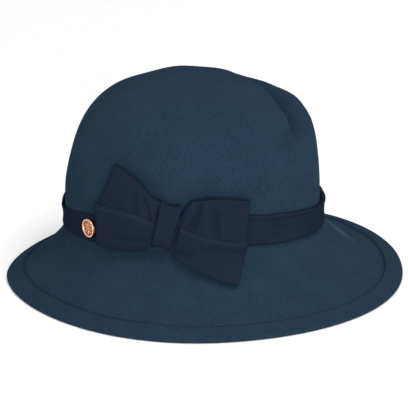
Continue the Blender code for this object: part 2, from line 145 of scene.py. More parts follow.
# Slow swells of the felt: waves for each metre in x, y and z, and the phase in turns
Swell = namedtuple("Swell", "x y z phase")
FELT_SWELLS = (
    Swell(9, 4, 7, 0.10),
    Swell(-6, 11, 5, 0.43),
    Swell(13, -9, 12, 0.71),
    Swell(21, 17, -15, 0.27),
    Swell(-26, 14, 22, 0.88),
)

# Ends of the faint streak of painted highlight on the front of the brim, where the felt's nap catches a
# grazing light, and how far it reaches to its sides and up
HIGHLIGHT_FROM = (0.093, 0.0255, 0.0345)
HIGHLIGHT_TO = (0.117, 0.0095, 0.0165)
HIGHLIGHT_REACH = (0.0100, 0.0110)

# How far round the hat each form at one place spreads: the brim's lift, its broader hem and the band's slack
LIFT_SPREAD = 0.12
HEM_SPREAD = 0.25
SLACK_SPREAD = 0.12

# Exponents of how fast the crown's front takes over from its back, and of the dip in the band's top
FRONT_SHARPNESS = 1.5
DIP_SHARPNESS = 8

# The flat chart of the crown, against the way straight out and down, and the points along the crease on it
CHART_SCALE = 0.8
COURSE_POINTS = 160

# The hem's section, measured inward from its width: where the ledge at its end begins and ends, the groove at
# its foot and the pressed strip on it. Then the mesh's rows about that ledge, and where the even rows end
LEDGE_FROM, LEDGE_TO = -0.0006, 0.0003
GROOVE_AT, GROOVE_REACH = 0.0006, 0.0007
PRESSED_AT, PRESSED_REACH, PRESSED_DEPTH = -0.0045, 0.0035, 0.00025
HEM_ROWS = (
    -0.0006, -0.0004, -0.0002, -0.00005, 0.0001, 0.0002, 0.00035, 0.00055, 0.0008, 0.0012, 0.0018, 0.0026,
)
EVEN_ROWS_TO = -0.0012
BRIM_STEPS = 81

# The felt's columns lie closer together about this turn, where the crease is deepest
CLOSER_TURN = math.radians(-14)
CLOSER_BY = 0.4

# The last row of the crown before its pole, as a share of the way up
TOP_SHARE = 0.992

# The felt is even behind the band: the band's middle above the break, and where the swells begin and are full
BAND_MIDDLE = 0.008
SWELLS_FROM, SWELLS_FULL = 0.010, 0.030

# Unevenness of the band: waves round it, size, phase and how much the phase shifts up the band. Then how far
# the waves move its face out and up, and the shares of its height where they begin and are full
Ripple = namedtuple("Ripple", "waves size phase shift")
BAND_RIPPLES = (
    Ripple(9, 1.0, 0.6, 0),
    Ripple(17, 0.7, 2.1, 0),
    Ripple(31, 0.5, 0.0, 2),
)
RIPPLE_OUT = 0.00008
RIPPLE_UP = 0.00022
RIPPLE_FROM, RIPPLE_FULL = 0.05, 0.3

# Shares of the band's height where its slack is full and where it begins to go, and the lowest share of the
# crown at which the crown's normal is read for it
SLACK_FULL, SLACK_TO = 0.04, 0.97
LOWEST_SHARE = 0.002

# The felt's near side, which the bow is laid on: turns and columns, then the share reached and the rows of
# the crown and of the brim. Last, how near to the hat's two ends its facing is read
SIDE_FROM, SIDE_TO, SIDE_COLUMNS = -np.pi * 0.985, -0.015 * np.pi, 500
SIDE_CROWN, SIDE_CROWN_ROWS = 0.72, 150
SIDE_BRIM, SIDE_BRIM_ROWS = 0.8, 90
SIDE_LIMIT = 0.97

# A loop's mesh: columns of each panel and of the fold, rows seen, round the turn and hidden behind
PANEL_COLUMNS = 22
FOLD_COLUMNS = 7
SEEN_ROWS = 56
TURN_ROWS = 10
HIDDEN_ROWS = 24

# Marks along a loop where the panels' swell and the pleat are full, where its lit edge begins and is full,
# and where the hidden ribbon starts to follow the turn
SWELL_FULL = 0.24
PLEAT_FULL = 0.14
LIT_FROM, LIT_FULL = 0.1, 0.2
FOLLOW_FROM = 0.3

# Depths of the fold's sink and its rolled edge, the edge's reach as a share of the panel, and how far a dent
# fades past its ends. Then the lit edge: its place and reach as shares of the panel, and its strength
FOLD_SINK = 0.0002
ROLL_DEPTH, ROLL_REACH = 0.0014, 0.07
DENT_FADE = 0.25
LIT_AT, LIT_REACH, LIT_STRENGTH = 0.02, 0.035, 0.85

# The wrap's mesh: columns round it, rows on each rolled edge and between them, and where the edges begin, as
# a share of its width from its middle
WRAP_COLUMNS = 128
WRAP_EDGE_ROWS = 14
WRAP_ROWS = 14
WRAP_EDGE = 0.3

# The wrap's surface: depth and width of its rolled edges, the hollow along its middle and a pinched wave
WRAP_ROLL, WRAP_ROLL_WIDTH = 0.0009, 0.0014
WRAP_HOLLOW = 0.0005
PINCH, PINCH_WAVES, PINCH_PHASE = 0.0003, 3, 0.4

# A row for each ring of the badge's edge, from its back up over the dark ring of painted shadow and the rim:
# shares of the radius, of the dark ring's width out and of the rim's width in, and share of the thickness
EdgeRow = namedtuple("EdgeRow", "radius seat rim height")
BADGE_EDGE_ROWS = (
    EdgeRow(0.2, 0, 0, 0),
    EdgeRow(1, 1, 0, 0),
    EdgeRow(1, 1, 0, 0.12),
    EdgeRow(1, 0, 0, 0.14),
    EdgeRow(1, 0, 0, 0.75),
    EdgeRow(1, 0, 0.091, 0.94),
    EdgeRow(1, 0, 0.22, 1),
    EdgeRow(1, 0, 0.4, 1),
    EdgeRow(1, 0, 0.6, 1),
    EdgeRow(1, 0, 0.8, 1),
    EdgeRow(1, 0, 0.92, 1),
    EdgeRow(1, 0, 1, 0.6425),
)
DARK_ROWS = 4

# The field inside the rim: share of the thickness, and its first row from the rim and last from the middle
FIELD_HEIGHT = 0.58
FIELD_FROM, FIELD_TO = 0.00005, 0.0001

# The rosette, in shares of the field's radius and of the relief: where petals and button begin and end, how
# the petals narrow, the ring of beads, the vein along each petal, and the button's top and fall
PETALS_FROM, PETALS_TO = (0.26, 0.36), (0.74, 0.80)
PETAL_FOOT, PETAL_FOOT_GROWTH = 0.12, 0.6
PETAL_TOP, PETAL_TOP_GROWTH = 0.5, 0.5
BUTTON_END = (0.17, 0.22)
BEADS_AT, BEADS_REACH, BEADS_HEIGHT = 0.90, 0.045, 0.9
VEIN_DEPTH, VEIN_WIDTH = 0.45, 0.10
BUTTON_TOP, BUTTON_FALL = 1.1, 1.6

# What the badge's material reads: 0 on the rim, where a highlight is painted, these on the raised relief and
# in the hollows, where shade is painted, and 1 on the dark ring of painted shadow. Then the share of the
# relief that counts as raised
RAISED, DEEP = 0.2, 0.8
RAISED_AT = 0.7

# Gap between the hat and the floor, which keeps the two from sharing a plane
FLOOR_GAP = 0.0002


def length(name, description, default):
    return bpy.props.FloatProperty(
        name=name, description=description, default=default, unit="LENGTH", precision=5, step=0.1
    )


def number(name, description, default):
    return bpy.props.FloatProperty(name=name, description=description, default=default, precision=3)


def turn(name, description, degrees):
    return bpy.props.FloatProperty(
        name=name, description=description, default=math.radians(degrees), subtype="ANGLE"
    )


def colour(name, description, default):
    return bpy.props.FloatVectorProperty(
        name=name, description=description, default=default, size=3, min=0, max=1, subtype="COLOR"
    )


class HatFeltSettings(bpy.types.PropertyGroup):
    """Sizes and colours of the felt."""

    brim_length: length("Brim length", "Front to back, over the edge", 0.306)
    brim_width: length("Brim width", "Side to side, over the edge", 0.2945)
    front_fullness: number("Front fullness", "Superellipse exponent of the brim's front", 2.12)
    back_fullness: number("Back fullness", "Superellipse exponent of the brim's back", 1.81)
    rest_width: length("Rest width", "How far in from the edge the brim touches the surface", 0.0025)
    break_height: length("Break height", "Where brim meets crown, at the front and back", 0.0405)
    break_side_rise: length("Side rise", "How much higher that is at the sides", 0.008)
    rim_lift: length("Rim lift", "How far the far front corner of the brim lifts", 0.0025)
    rim_lift_turn: turn("Lift place", "Where the brim lifts, round from the front", 50)
    flare_out: number("Flare out", "How far out the brim's curve is drawn, as a share", 0.30)
    flare_down: number("Flare down", "How far down the brim's curve is drawn, as a share", 0.60)
    head_length: length("Head length", "Length of the head oval", 0.191)
    head_width: length("Head width", "Width of the head oval", 0.164)
    head_fullness: number("Head fullness", "Superellipse exponent of the head oval", 2.1)
    crown_set_back: length("Set back", "How far the crown sits behind the brim's middle", 0.0085)
    crown_depth: length("Crown depth", "From the break's lowest point to the top", 0.1155)
    crown_taper: number("Crown taper", "How much narrower the crown gets", 0.002)
    top_slope: number("Top slope", "How steeply the top falls towards the front", 0.215)
    top_slope_ease: length("Slope ease", "How softly that slope begins", 0.026)
    back_drop: number("Back drop", "Exponent of the climb at the back", 2.77)
    front_drop: number("Front drop", "Exponent of the climb at the front", 5.6)
    back_round: number("Back round", "Exponent of the girth at the back", 3.05)
    front_round: number("Front round", "Exponent of the girth at the front", 4.3)
    thickness: length("Felt", "Thickness of the felt", 0.002)
    welt_width: length("Hem width", "Width of the turned hem round the rim", 0.0155)
    hem_broader: number("Hem broader", "How much broader the hem is at that corner, as a share", 0.22)
    welt_thickness: length("Hem thickness", "Thickness of the turned hem", 0.0032)
    welt_groove: length("Hem groove", "Depth of the line along the hem", 0.00065)
    crease_depth: length("Crease depth", "Deepest push of the crease", 0.0092)
    crease_wall: length("Crease wall", "Width of the crease's side towards the brim", 0.0078)
    crease_foot: length("Crease foot", "Width of the groove's steep foot on that side", 0.0029)
    crease_lip: length("Crease lip", "Width of the lip on the dome's side", 0.0028)
    crease_slope: length("Crease slope", "Width of the slope on the dome's side", 0.0164)
    crease_slope_share: number("Slope share", "How much of the depth the slope takes", 0.50)
    crease_bulge: number("Crease bulge", "Swelling beyond that side, a share of the depth", 0.6)
    crease_bulge_reach: length("Bulge reach", "How far that swelling reaches", 0.018)
    crease_inset: length("Crease inset", "How far towards the dome the groove of the crease lies", 0.0040)
    swell: length("Swell", "Slow unevenness of the blocked felt", 0.00022)
    dye: colour("Dye", "Colour of the felt", (0.0125, 0.0272, 0.0468))
    pale_fibre: colour("Pale fibre", "Colour of the lighter fibres", (0.0190, 0.0380, 0.0622))
    # Painted highlight: a pale streak on the brim's front that stands in for the sheen of the felt's nap at a
    # grazing angle
    rubbed: colour("Rubbed", "Colour of the rubbed streak on the brim", (0.0560, 0.0980, 0.1480))


class HatRibbonSettings(bpy.types.PropertyGroup):
    """Sizes and colours of the band and bow."""

    gap: length("Gap", "Between the felt and the band", 0.0003)
    band_height: length("Band height", "Its top above the break, at the sides", 0.0271)
    band_rake: length("Band rake", "How much higher its top is at the front", 0.0020)
    band_dip: length("Band dip", "How far its top dips at the very front and back", 0.0055)
    band_lift: length("Band lift", "Its foot above the break, at the sides", 0.0027)
    band_foot_rake: length("Foot rake", "How much higher its foot is at the front", -0.0010)
    band_thickness: length("Band thickness", "At the rolled top edge", 0.0024)
    band_slack: length("Band slack", "How much farther off the felt it stands at the front", 0.0018)
    knot_x: length("Knot place", "Middle of the knot, forward of the hat's middle", -0.0265)
    knot_height: length("Knot height", "Middle of the knot above the side break", 0.0215)
    knot_tilt: turn("Knot tilt", "How far the knot leans to the front", 15)
    knot_length: length("Knot length", "Along the wrap", 0.0368)
    knot_width: length("Knot width", "Across the wrap", 0.0158)
    knot_waist: length("Knot waist", "How much narrower its middle is", 0.0016)
    knot_sink: length("Knot sink", "How far the wrap sits below the middle of the bow", 0.0007)
    knot_shift: length("Knot shift", "How far the wrap sits behind the middle of the bow", 0.0012)
    knot_narrowing: number("Knot narrowing", "How much narrower its foot is", 0.08)
    knot_depth: length("Knot depth", "Off the band", 0.0084)
    knot_squareness: number("Knot squareness", "Superellipse exponent of its section", 2.8)
    knot_wall: length("Knot wall", "Thickness of the wrap", 0.00096)
    ribbon_wall: length("Ribbon wall", "Thickness of the ribbon in the loops", 0.00075)
    ribbon_width: length("Ribbon width", "Width of the loops' ribbon", 0.060)
    back_loop: length("Back loop", "Length of the loop towards the back", 0.053)
    front_loop: length("Front loop", "Length of the loop towards the front", 0.0617)
    loop_depth: length("Loop depth", "How far the loops stand off the felt", 0.012)
    pleat_step: length("Pleat step", "How far the lower panel stands off the upper one", 0.0018)
    pleat_tuck: length("Pleat tuck", "How far the upper panel runs on behind the lower one", 0.0040)
    panel_crown: length("Panel crown", "Swell of each panel", 0.0012)
    silk: colour("Silk", "Colour of the ribbon", (0.0098, 0.0145, 0.0272))
    glint: colour("Glint", "Colour of the ribbon's raised threads", (0.0146, 0.0214, 0.0396))
    # Painted highlight: a lighter colour along the folded edge of the loops' lower panels, where the satin
    # catches the light
    fold_highlight: colour("Crest", "Colour of the ribbon along its pleats' edges", (0.0300, 0.0430, 0.0680))


class HatBadgeSettings(bpy.types.PropertyGroup):
    """Sizes and colours of the badge."""

    diameter: length("Diameter", "Over the rim", 0.014)
    thickness: length("Thickness", "At the rim", 0.0016)
    rim: length("Rim", "Width of the raised rim", 0.0011)
    relief: length("Relief", "Height of the rosette", 0.00035)
    petals: bpy.props.IntProperty(name="Petals", description="Petals of the rosette", default=8, min=3)
    beads: bpy.props.IntProperty(name="Beads", description="Beads inside the rim", default=36, min=8)
    # The seat and the dark colour below make a near-black ring of painted shadow round the badge's edge
    seat: length("Seat", "Width of the dark ring under the rim", 0.0006)
    # Painted highlight: the raised rim is coloured paler, as where it catches the light
    rim_shine: colour("Rim shine", "Colour of the raised rim", (0.88, 0.56, 0.42))
    copper: colour("Copper", "Colour of the raised metal", (0.80, 0.36, 0.20))
    # Painted shade: the hollows of the relief are coloured darker
    shade: colour("Shade", "Colour in the hollows", (0.24, 0.075, 0.035))
    # Painted shadow: colour of the dark ring under the rim
    dark: colour("Dark", "Colour of the ring under the rim", (0.012, 0.008, 0.007))


class HatStageSettings(bpy.types.PropertyGroup):
    """The camera, floor and light."""

    elevation: turn("Elevation", "Height of the camera above the horizon", 20.82)
    roll: turn("Roll", "Turn of the camera about its own axis", -1.02)
    distance: length("Distance", "From the camera to the hat's middle", 1.9)
    lens: number("Lens", "Focal length in millimetres on a 36 mm sensor", 216.6)
    aim_up: turn("Aim up", "How far above the origin the camera looks", 1.562)
    aim_side: turn("Aim side", "How far to the left of the origin the camera looks", 0.014)
    floor_size: length("Floor size", "Side of the square floor", 12.0)
    sky: number("Sky", "Brightness all round", 0.68)
    key: number("Key light", "Power of the large light above, in watts", 112.0)
    fill: number("Fill light", "Power of the light at the front, in watts", 26.0)


def superellipse(angle, half_length, half_width, fullness):
    """Distance from the middle to |x/a|^n + |y/b|^n = 1, towards an angle from +X."""
    along = np.abs(np.cos(angle) / half_length) ** fullness
    across = np.abs(np.sin(angle) / half_width) ** fullness
    return (along + across) ** (-1 / fullness)


def polar(radius, angle):
    """X and y of a radius towards an angle: r cos(a) and r sin(a)."""
    return radius * np.cos(angle), radius * np.sin(angle)


def smooth_between(marks, values, at):
    """Cubic Hermite curve through values at marks, with slopes taken across each mark's neighbours."""
    slopes = np.gradient(values, marks)
    i = np.clip(np.searchsorted(marks, at, side="right") - 1, 0, len(marks) - 2)
    span = marks[i + 1] - marks[i]
    t = (at - marks[i]) / span
    rest = (1 - t) ** 2
    return (
        values[i] * (1 + 2 * t) * rest + values[i + 1] * t**2 * (3 - 2 * t)
        + span * (slopes[i] * t * rest - slopes[i + 1] * t**2 * (1 - t))
    )


def ease(value, low, high):
    """Smooth step: 0 below low, 1 above high, 3t^2 - 2t^3 between."""
    t = np.clip((value - low) / (high - low), 0, 1)
    return t * t * (3 - 2 * t)


def bell(distance, reach):
    """Bell curve: exp(-(distance / reach)^2)."""
    return np.exp(-((distance / reach) ** 2))


def near_turn(angle, turn_at, spread):
    """1 at one turn round the hat, falling off as exp((cos(angle - turn) - 1) / spread)."""
    return np.exp((np.cos(angle - turn_at) - 1) / spread)


def frontness(angle):
    """1 at the front, 0 at the back, as half of 1 + the cosine."""
    return 0.5 + 0.5 * np.cos(angle)


def between(low, high, count):
    """Even steps from low to high, without the two ends."""
    return np.linspace(low, high, count + 2)[1:-1]


def unit(vectors):
    """Each vector over its own length."""
    return vectors / np.maximum(np.linalg.norm(vectors, axis=-1, keepdims=True), 1e-12)


def grid_normals(points):
    """Unit normals of a grid closed along its columns: the cross product of its central differences."""
    across = np.roll(points, -1, axis=1) - np.roll(points, 1, axis=1)
    return unit(np.cross(across, np.gradient(points, axis=0)))


def rim_outline(felt, angle, inset=0.0):
    """The brim's outline: a superellipse, fuller in front and more pointed behind."""
    fullness = felt.back_fullness + (felt.front_fullness - felt.back_fullness) * frontness(angle)
    return polar(superellipse(angle, felt.brim_length / 2, felt.brim_width / 2, fullness) - inset, angle)


def head_oval(felt, angle, girth=1.0):
    """The head's oval at the break, or a smaller one like it."""
    half_length, half_width = felt.head_length / 2 * girth, felt.head_width / 2 * girth
    x, y = polar(superellipse(angle, half_length, half_width, felt.head_fullness), angle)
    return x - felt.crown_set_back, y


def break_height(felt, angle):
    """Height of the line where brim meets crown, which rises as the sine squared towards the sides."""
    return felt.break_height + felt.break_side_rise * np.sin(angle) ** 2


def brim_surface(felt, angle, share):
    """Underside of the brim: a quadratic Bezier from the break (share 0) to the resting edge (share 1),
    lifted near its far front corner by the share cubed."""
    out = 2 * share * (1 - share) * felt.flare_out + share**2
    down = 2 * share * (1 - share) * felt.flare_down + share**2
    inner, outer = head_oval(felt, angle), rim_outline(felt, angle, felt.rest_width)
    x, y = (a + (b - a) * out for a, b in zip(inner, outer))
    lift = felt.rim_lift * near_turn(angle, felt.rim_lift_turn, LIFT_SPREAD) * share**3
    return np.stack([x, y, break_height(felt, angle) * (1 - down) + lift], axis=-1)


def plain_crown(felt, angle, share):
    """Inside of the uncreased crown: its girth falls off as (1 - climb^drop)^(1/round), and its top leans."""
    climb = np.sin(np.pi / 2 * share)
    front = frontness(angle) ** FRONT_SHARPNESS
    drop = felt.back_drop + (felt.front_drop - felt.back_drop) * front
    bend = felt.back_round + (felt.front_round - felt.back_round) * front
    girth = (1 - felt.crown_taper * climb) * np.clip(1 - climb**drop, 1e-9, 1) ** (1 / bend)
    x, y = head_oval(felt, angle, girth)
    top = felt.break_height + felt.crown_depth - felt.top_slope * (x + np.hypot(x, felt.top_slope_ease)) / 2
    return np.stack([x, y, break_height(felt, angle) * (1 - climb) + top * climb], axis=-1)


def crown_normal(felt, angle, share, step=1e-3):
    """Unit normal of the plain crown, away from the head."""
    across = plain_crown(felt, angle + step, share) - plain_crown(felt, angle - step, share)
    up = plain_crown(felt, angle, share + step) - plain_crown(felt, angle, share - step)
    return unit(np.cross(across, up))


def crown_chart(felt, angle, share, inset=0.0):
    """The crown laid out flat about its top: distances from the top along the felt, roughly."""
    reach = (1 - share) * (felt.crown_depth + felt.head_length / 2) * CHART_SCALE
    return np.stack(polar(reach - inset, angle), axis=-1)


def crease_push(felt, angle, share):
    """How far the felt is pushed in: on each side of the crease's course a narrow and a wide bell curve of
    the distance to it, and on the brim's side less a swelling beyond them."""
    rows = np.array(CREASE_ROWS)
    stations = crown_chart(felt, np.radians(rows[:, 0]), rows[:, 1], felt.crease_inset)
    marks = np.append(0, np.cumsum(np.linalg.norm(np.diff(stations, axis=0), axis=1)))
    at = np.linspace(0, marks[-1], COURSE_POINTS)
    course = np.column_stack([smooth_between(marks, stations[:, i], at) for i in (0, 1)])
    depth = np.maximum(smooth_between(marks, rows[:, 2], at), 0) * felt.crease_depth
    width = smooth_between(marks, rows[:, 3], at)
    point = crown_chart(felt, angle, share)
    start, ahead = course[:-1], np.diff(course, axis=0)
    to_point = point[..., None, :] - start
    t = np.clip((to_point * ahead).sum(-1) / (ahead**2).sum(-1), 0, 1)
    away = to_point - t[..., None] * ahead
    off = np.linalg.norm(away, axis=-1)
    nearest = off.argmin(axis=-1)[..., None]
    t = np.take_along_axis(t, nearest, -1)[..., 0]
    away = np.take_along_axis(away, nearest[..., None], -2)[..., 0, :]
    off = np.take_along_axis(off, nearest, -1)[..., 0]
    nearest = nearest[..., 0]
    along = ahead[nearest]
    dome = along[..., 0] * away[..., 1] - along[..., 1] * away[..., 0] > 0
    close = off / width[nearest]
    wide = felt.crease_slope_share
    lip = (1 - wide) * bell(close, felt.crease_lip) + wide * bell(off, felt.crease_slope)
    wall = (1 - wide) * bell(close, felt.crease_foot) + wide * bell(close, felt.crease_wall)
    wall = (1 + felt.crease_bulge) * wall - felt.crease_bulge * bell(off, felt.crease_bulge_reach)
    return (depth[nearest] * (1 - t) + depth[nearest + 1] * t) * np.where(dome, lip, wall)


def brim_shares(felt, angle, runs):
    """Shares at which the underside of the brim has gone these distances in from its edge, read off the
    summed chords of each column. The distances grow a little where the hem is broader."""
    shares = np.linspace(1, 0, BRIM_STEPS)
    points = brim_surface(felt, angle[None, :], shares[:, None])
    chords = np.linalg.norm(np.diff(points, axis=0), axis=-1)
    walked = np.vstack([np.zeros(len(angle)), np.cumsum(chords, axis=0)])
    broader = 1 + felt.hem_broader * near_turn(angle, felt.rim_lift_turn, HEM_SPREAD)
    wanted = (runs - felt.rest_width)[:, None] * broader
    i = np.clip((walked[:, None, :] < wanted[None]).sum(axis=0) - 1, 0, len(shares) - 2)
    low, high = np.take_along_axis(walked, i, 0), np.take_along_axis(walked, i + 1, 0)
    return shares[i] + (shares[i + 1] - shares[i]) * (wanted - low) / (high - low)


def felt_swell(felt, points):
    """Slow unevenness: the sum of a few sine waves across space."""
    waves = np.array(FELT_SWELLS)
    return felt.swell * np.sin(2 * np.pi * (points @ waves[:, :3].T + waves[:, 3])).sum(-1)


def welt_profile(felt, run):
    """Thickness over the distance from the edge: the hem with a pressed hollow, a soft ledge at its end and a
    fine groove at the ledge's foot."""
    past = run - felt.welt_width
    ledge = 1 - ease(past, LEDGE_FROM, LEDGE_TO)
    groove = felt.welt_groove * bell(past - GROOVE_AT, GROOVE_REACH)
    pressed = PRESSED_DEPTH * bell(past - PRESSED_AT, PRESSED_REACH)
    return felt.thickness + (felt.welt_thickness - felt.thickness + pressed) * ledge - groove


def grid_mesh(name, points, closed=True, poles=(), lay=None):
    """A mesh over a grid of points, whose columns join up if it is closed, with a point at each pole to close
    its first and last rows. Lay is the flat place of each corner for the UV map, one column wider than a
    closed grid."""
    rows, columns = points.shape[:2]
    row = np.arange(rows - 1)[:, None]
    column = np.arange(columns if closed else columns - 1)[None, :]
    after = (column + 1) % columns
    quads = np.stack([row * columns + column, row * columns + after,
                      (row + 1) * columns + after, (row + 1) * columns + column], axis=-1).reshape(-1, 4)
    vertices = points.reshape(-1, 3)
    caps = np.zeros((0, 3), int)
    if len(poles):
        ring = np.arange(columns)
        beside = (ring + 1) % columns
        last = (rows - 1) * columns
        first_pole, last_pole = len(vertices), len(vertices) + 1
        caps = np.concatenate([
            np.stack([beside, ring, np.full(columns, first_pole)], axis=-1),
            np.stack([last + ring, last + beside, np.full(columns, last_pole)], axis=-1),
        ])
        vertices = np.concatenate([vertices, np.array(poles)])
    mesh = bpy.data.meshes.new(name)
    mesh.vertices.add(len(vertices))
    mesh.vertices.foreach_set("co", vertices.astype(np.float32).ravel())
    corners = np.concatenate([quads.ravel(), caps.ravel()])
    sizes = np.concatenate([np.full(len(quads), 4), np.full(len(caps), 3)])
    mesh.loops.add(len(corners))
    mesh.loops.foreach_set("vertex_index", corners.astype(np.int32))
    mesh.polygons.add(len(sizes))
    mesh.polygons.foreach_set("loop_start", (np.cumsum(sizes) - sizes).astype(np.int32))
    if lay is not None:
        flat = np.stack([lay[row, column], lay[row, column + 1], lay[row + 1, column + 1],
                         lay[row + 1, column]], axis=-2).reshape(-1, 2)
        flat = np.concatenate([flat, np.zeros((caps.size, 2))])
        mesh.uv_layers.new(name="cloth").data.foreach_set("uv", flat.astype(np.float32).ravel())
    mesh.update(calc_edges=True)
    mesh.validate()
    mesh.shade_smooth()
    return mesh


def place(name, mesh, material, slot, *nodes):
    """Puts a finished piece in the scene, in place of the nodes that it stands for."""
    piece = bpy.data.objects.new(name, mesh)
    mesh.materials.append(material)
    bpy.context.scene.collection.objects.link(piece)
    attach(piece, BODY)
    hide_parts(*nodes)
    return piece


def walked_lay(points, closed=True):
    """Flat place of each corner of a grid of cloth: the distances walked along its columns and rows."""
    joined = np.concatenate([points, points[:, :1]], axis=1) if closed else points
    across = np.linalg.norm(np.diff(joined, axis=1), axis=-1)
    down = np.linalg.norm(np.diff(joined, axis=0), axis=-1)
    u = np.concatenate([np.zeros((len(joined), 1)), np.cumsum(across, axis=1)], axis=1)
    v = np.concatenate([np.zeros((1, joined.shape[1])), np.cumsum(down, axis=0)], axis=0)
    return np.stack([np.broadcast_to(u.mean(axis=0), u.shape), v], axis=-1)


def weld(mesh):
    """Merges the last row of a grid that comes back to its first."""
    work = bmesh.new()
    work.from_mesh(mesh)
    bmesh.ops.remove_doubles(work, verts=work.verts, dist=1e-7)
    work.to_mesh(mesh)
    work.free()
    mesh.update()


def keep_on_points(mesh, name, values):
    """Keeps one value for each point of a mesh, for its material."""
    mesh.attributes.new(name, "FLOAT", "POINT").data.foreach_set("value", values.astype(np.float32).ravel())


class Nodes:
    """A material's node tree, with short ways to add and join nodes."""

    def __init__(self, name):
        self.material = bpy.data.materials.new(name)
        self.material.use_nodes = True
        self.tree = self.material.node_tree
        self.shader = self.tree.nodes["Principled BSDF"]

    def feed(self, socket, value):
        """Joins a socket to another node's output, or sets it to a plain value."""
        if isinstance(value, bpy.types.NodeSocket):
            self.tree.links.new(value, socket)
        else:
            socket.default_value = value

    def add(self, kind, inputs=None, **settings):
        node = self.tree.nodes.new(kind)
        for key, value in settings.items():
            setattr(node, key, value)
        for key, value in (inputs or {}).items():
            self.feed(node.inputs[key], value)
        return node

    def shade(self, **inputs):
        for key, value in inputs.items():
            self.feed(self.shader.inputs[key.replace("_", " ")], value)

    def where(self):
        """The place on the piece, in its own metres."""
        return self.add("ShaderNodeTexCoord").outputs["Object"]

    def mapped(self, vector, scale, rotation=(0, 0, 0)):
        inputs = {"Vector": vector, "Scale": scale, "Rotation": rotation}
        return self.add("ShaderNodeMapping", inputs).outputs[0]

    def attribute(self, name):
        return self.add("ShaderNodeAttribute", attribute_name=name).outputs["Fac"]

    def noise(self, where, scale, detail=3.0, roughness=0.5, distortion=0.0):
        return self.add("ShaderNodeTexNoise", {
            "Vector": where, "Scale": scale, "Detail": detail, "Roughness": roughness,
            "Distortion": distortion,
        }).outputs["Fac"]

    def bands(self, where, direction, scale, distortion, detail_scale):
        return self.add("ShaderNodeTexWave", {
            "Vector": where, "Scale": scale, "Distortion": distortion, "Detail": 1.0,
            "Detail Scale": detail_scale,
        }, wave_type="BANDS", bands_direction=direction).outputs["Fac"]

    def ramp(self, factor, *stops):
        """A colour ramp. Each stop is a position with a colour, or with a number for a grey."""
        node = self.add("ShaderNodeValToRGB", {"Fac": factor})
        elements = node.color_ramp.elements
        while len(elements) < len(stops):
            elements.new(0.5)
        for element, (position, shade) in zip(elements, stops):
            element.position = position
            element.color = (*(shade if isinstance(shade, tuple) else (shade,) * 3), 1)
        return node.outputs["Color"]

    def mix(self, factor, first, second, blend="MIX"):
        node = self.add("ShaderNodeMix", data_type="RGBA", blend_type=blend)
        for socket, value in zip((node.inputs[0], node.inputs[6], node.inputs[7]), (factor, first, second)):
            self.feed(socket, value)
        return node.outputs[2]

    def math(self, operation, first, second=0.0):
        return self.add("ShaderNodeMath", {0: first, 1: second}, operation=operation).outputs[0]

    def bump(self, height, distance, strength, normal=None):
        inputs = {"Height": height, "Distance": distance, "Strength": strength}
        if normal is not None:
            inputs["Normal"] = normal
        return self.add("ShaderNodeBump", inputs).outputs["Normal"]


def felt_material(felt):
    """Matted wool: fine crossed fibres, flecks of paler wool and slow clouds of dye, with a soft nap, and a
    painted highlight streaked on the front of the brim.
    """
    made = Nodes("wool_felt")
    where = made.where()
    clouds = made.noise(where, scale=38, detail=4, roughness=0.55)
    grain = made.noise(where, scale=620, detail=6, roughness=0.68, distortion=0.5)
    stretched = made.mapped(where, scale=(1.0, 1.0, 0.28), rotation=(0.5, 0.7, 0.3))
    crossed = made.mapped(where, scale=(0.3, 1.0, 1.0), rotation=(0.2, 0.4, 1.1))
    fibres = made.math(
        "MAXIMUM", made.noise(stretched, scale=1500, roughness=0.6, distortion=1.4),
        made.noise(crossed, scale=1400, roughness=0.6, distortion=1.4),
    )
    dye, pale = tuple(felt.dye), tuple(felt.pale_fibre)
    dark = tuple(0.80 * c for c in dye)
    base = made.ramp(grain, (0.32, dark), (0.52, dye), (0.78, pale))
    tone = made.ramp(clouds, (0.30, (0.90, 0.90, 0.91)), (0.70, (1.08, 1.08, 1.07)))
    cloudy = made.mix(1.0, base, tone, "MULTIPLY")
    fleck = made.ramp(fibres, (0.66, 0), (0.80, 1))
    coloured = made.mix(made.math("MULTIPLY", fleck, 0.30), cloudy, (*pale, 1))

    # Painted highlight: the pale streak of grazing sheen on the front of the brim, mixed into the felt's
    # colour
    start, end = Vector(HIGHLIGHT_FROM), Vector(HIGHLIGHT_TO)
    along = end - start
    spot = made.add("ShaderNodeMapping", {
        "Vector": where, "Location": (start + end) / 2,
        "Rotation": along.to_track_quat("X", "Z").to_euler(), "Scale": (along.length / 2, *HIGHLIGHT_REACH),
    }, vector_type="TEXTURE").outputs[0]
    streak = made.add("ShaderNodeTexGradient", {"Vector": spot}, gradient_type="SPHERICAL").outputs["Fac"]
    coloured = made.mix(made.math("MULTIPLY", streak, 0.50), coloured, (*felt.rubbed, 1))

    nap = made.bump(grain, distance=0.00035, strength=0.55)
    fuzz = made.bump(fibres, distance=0.00018, strength=0.5, normal=nap)
    made.shade(Base_Color=coloured, Roughness=1.0, Normal=fuzz, Sheen_Weight=0.03, Sheen_Roughness=0.6,
               Sheen_Tint=(0.45, 0.65, 0.9, 1), Specular_IOR_Level=0.0)
    return made.material


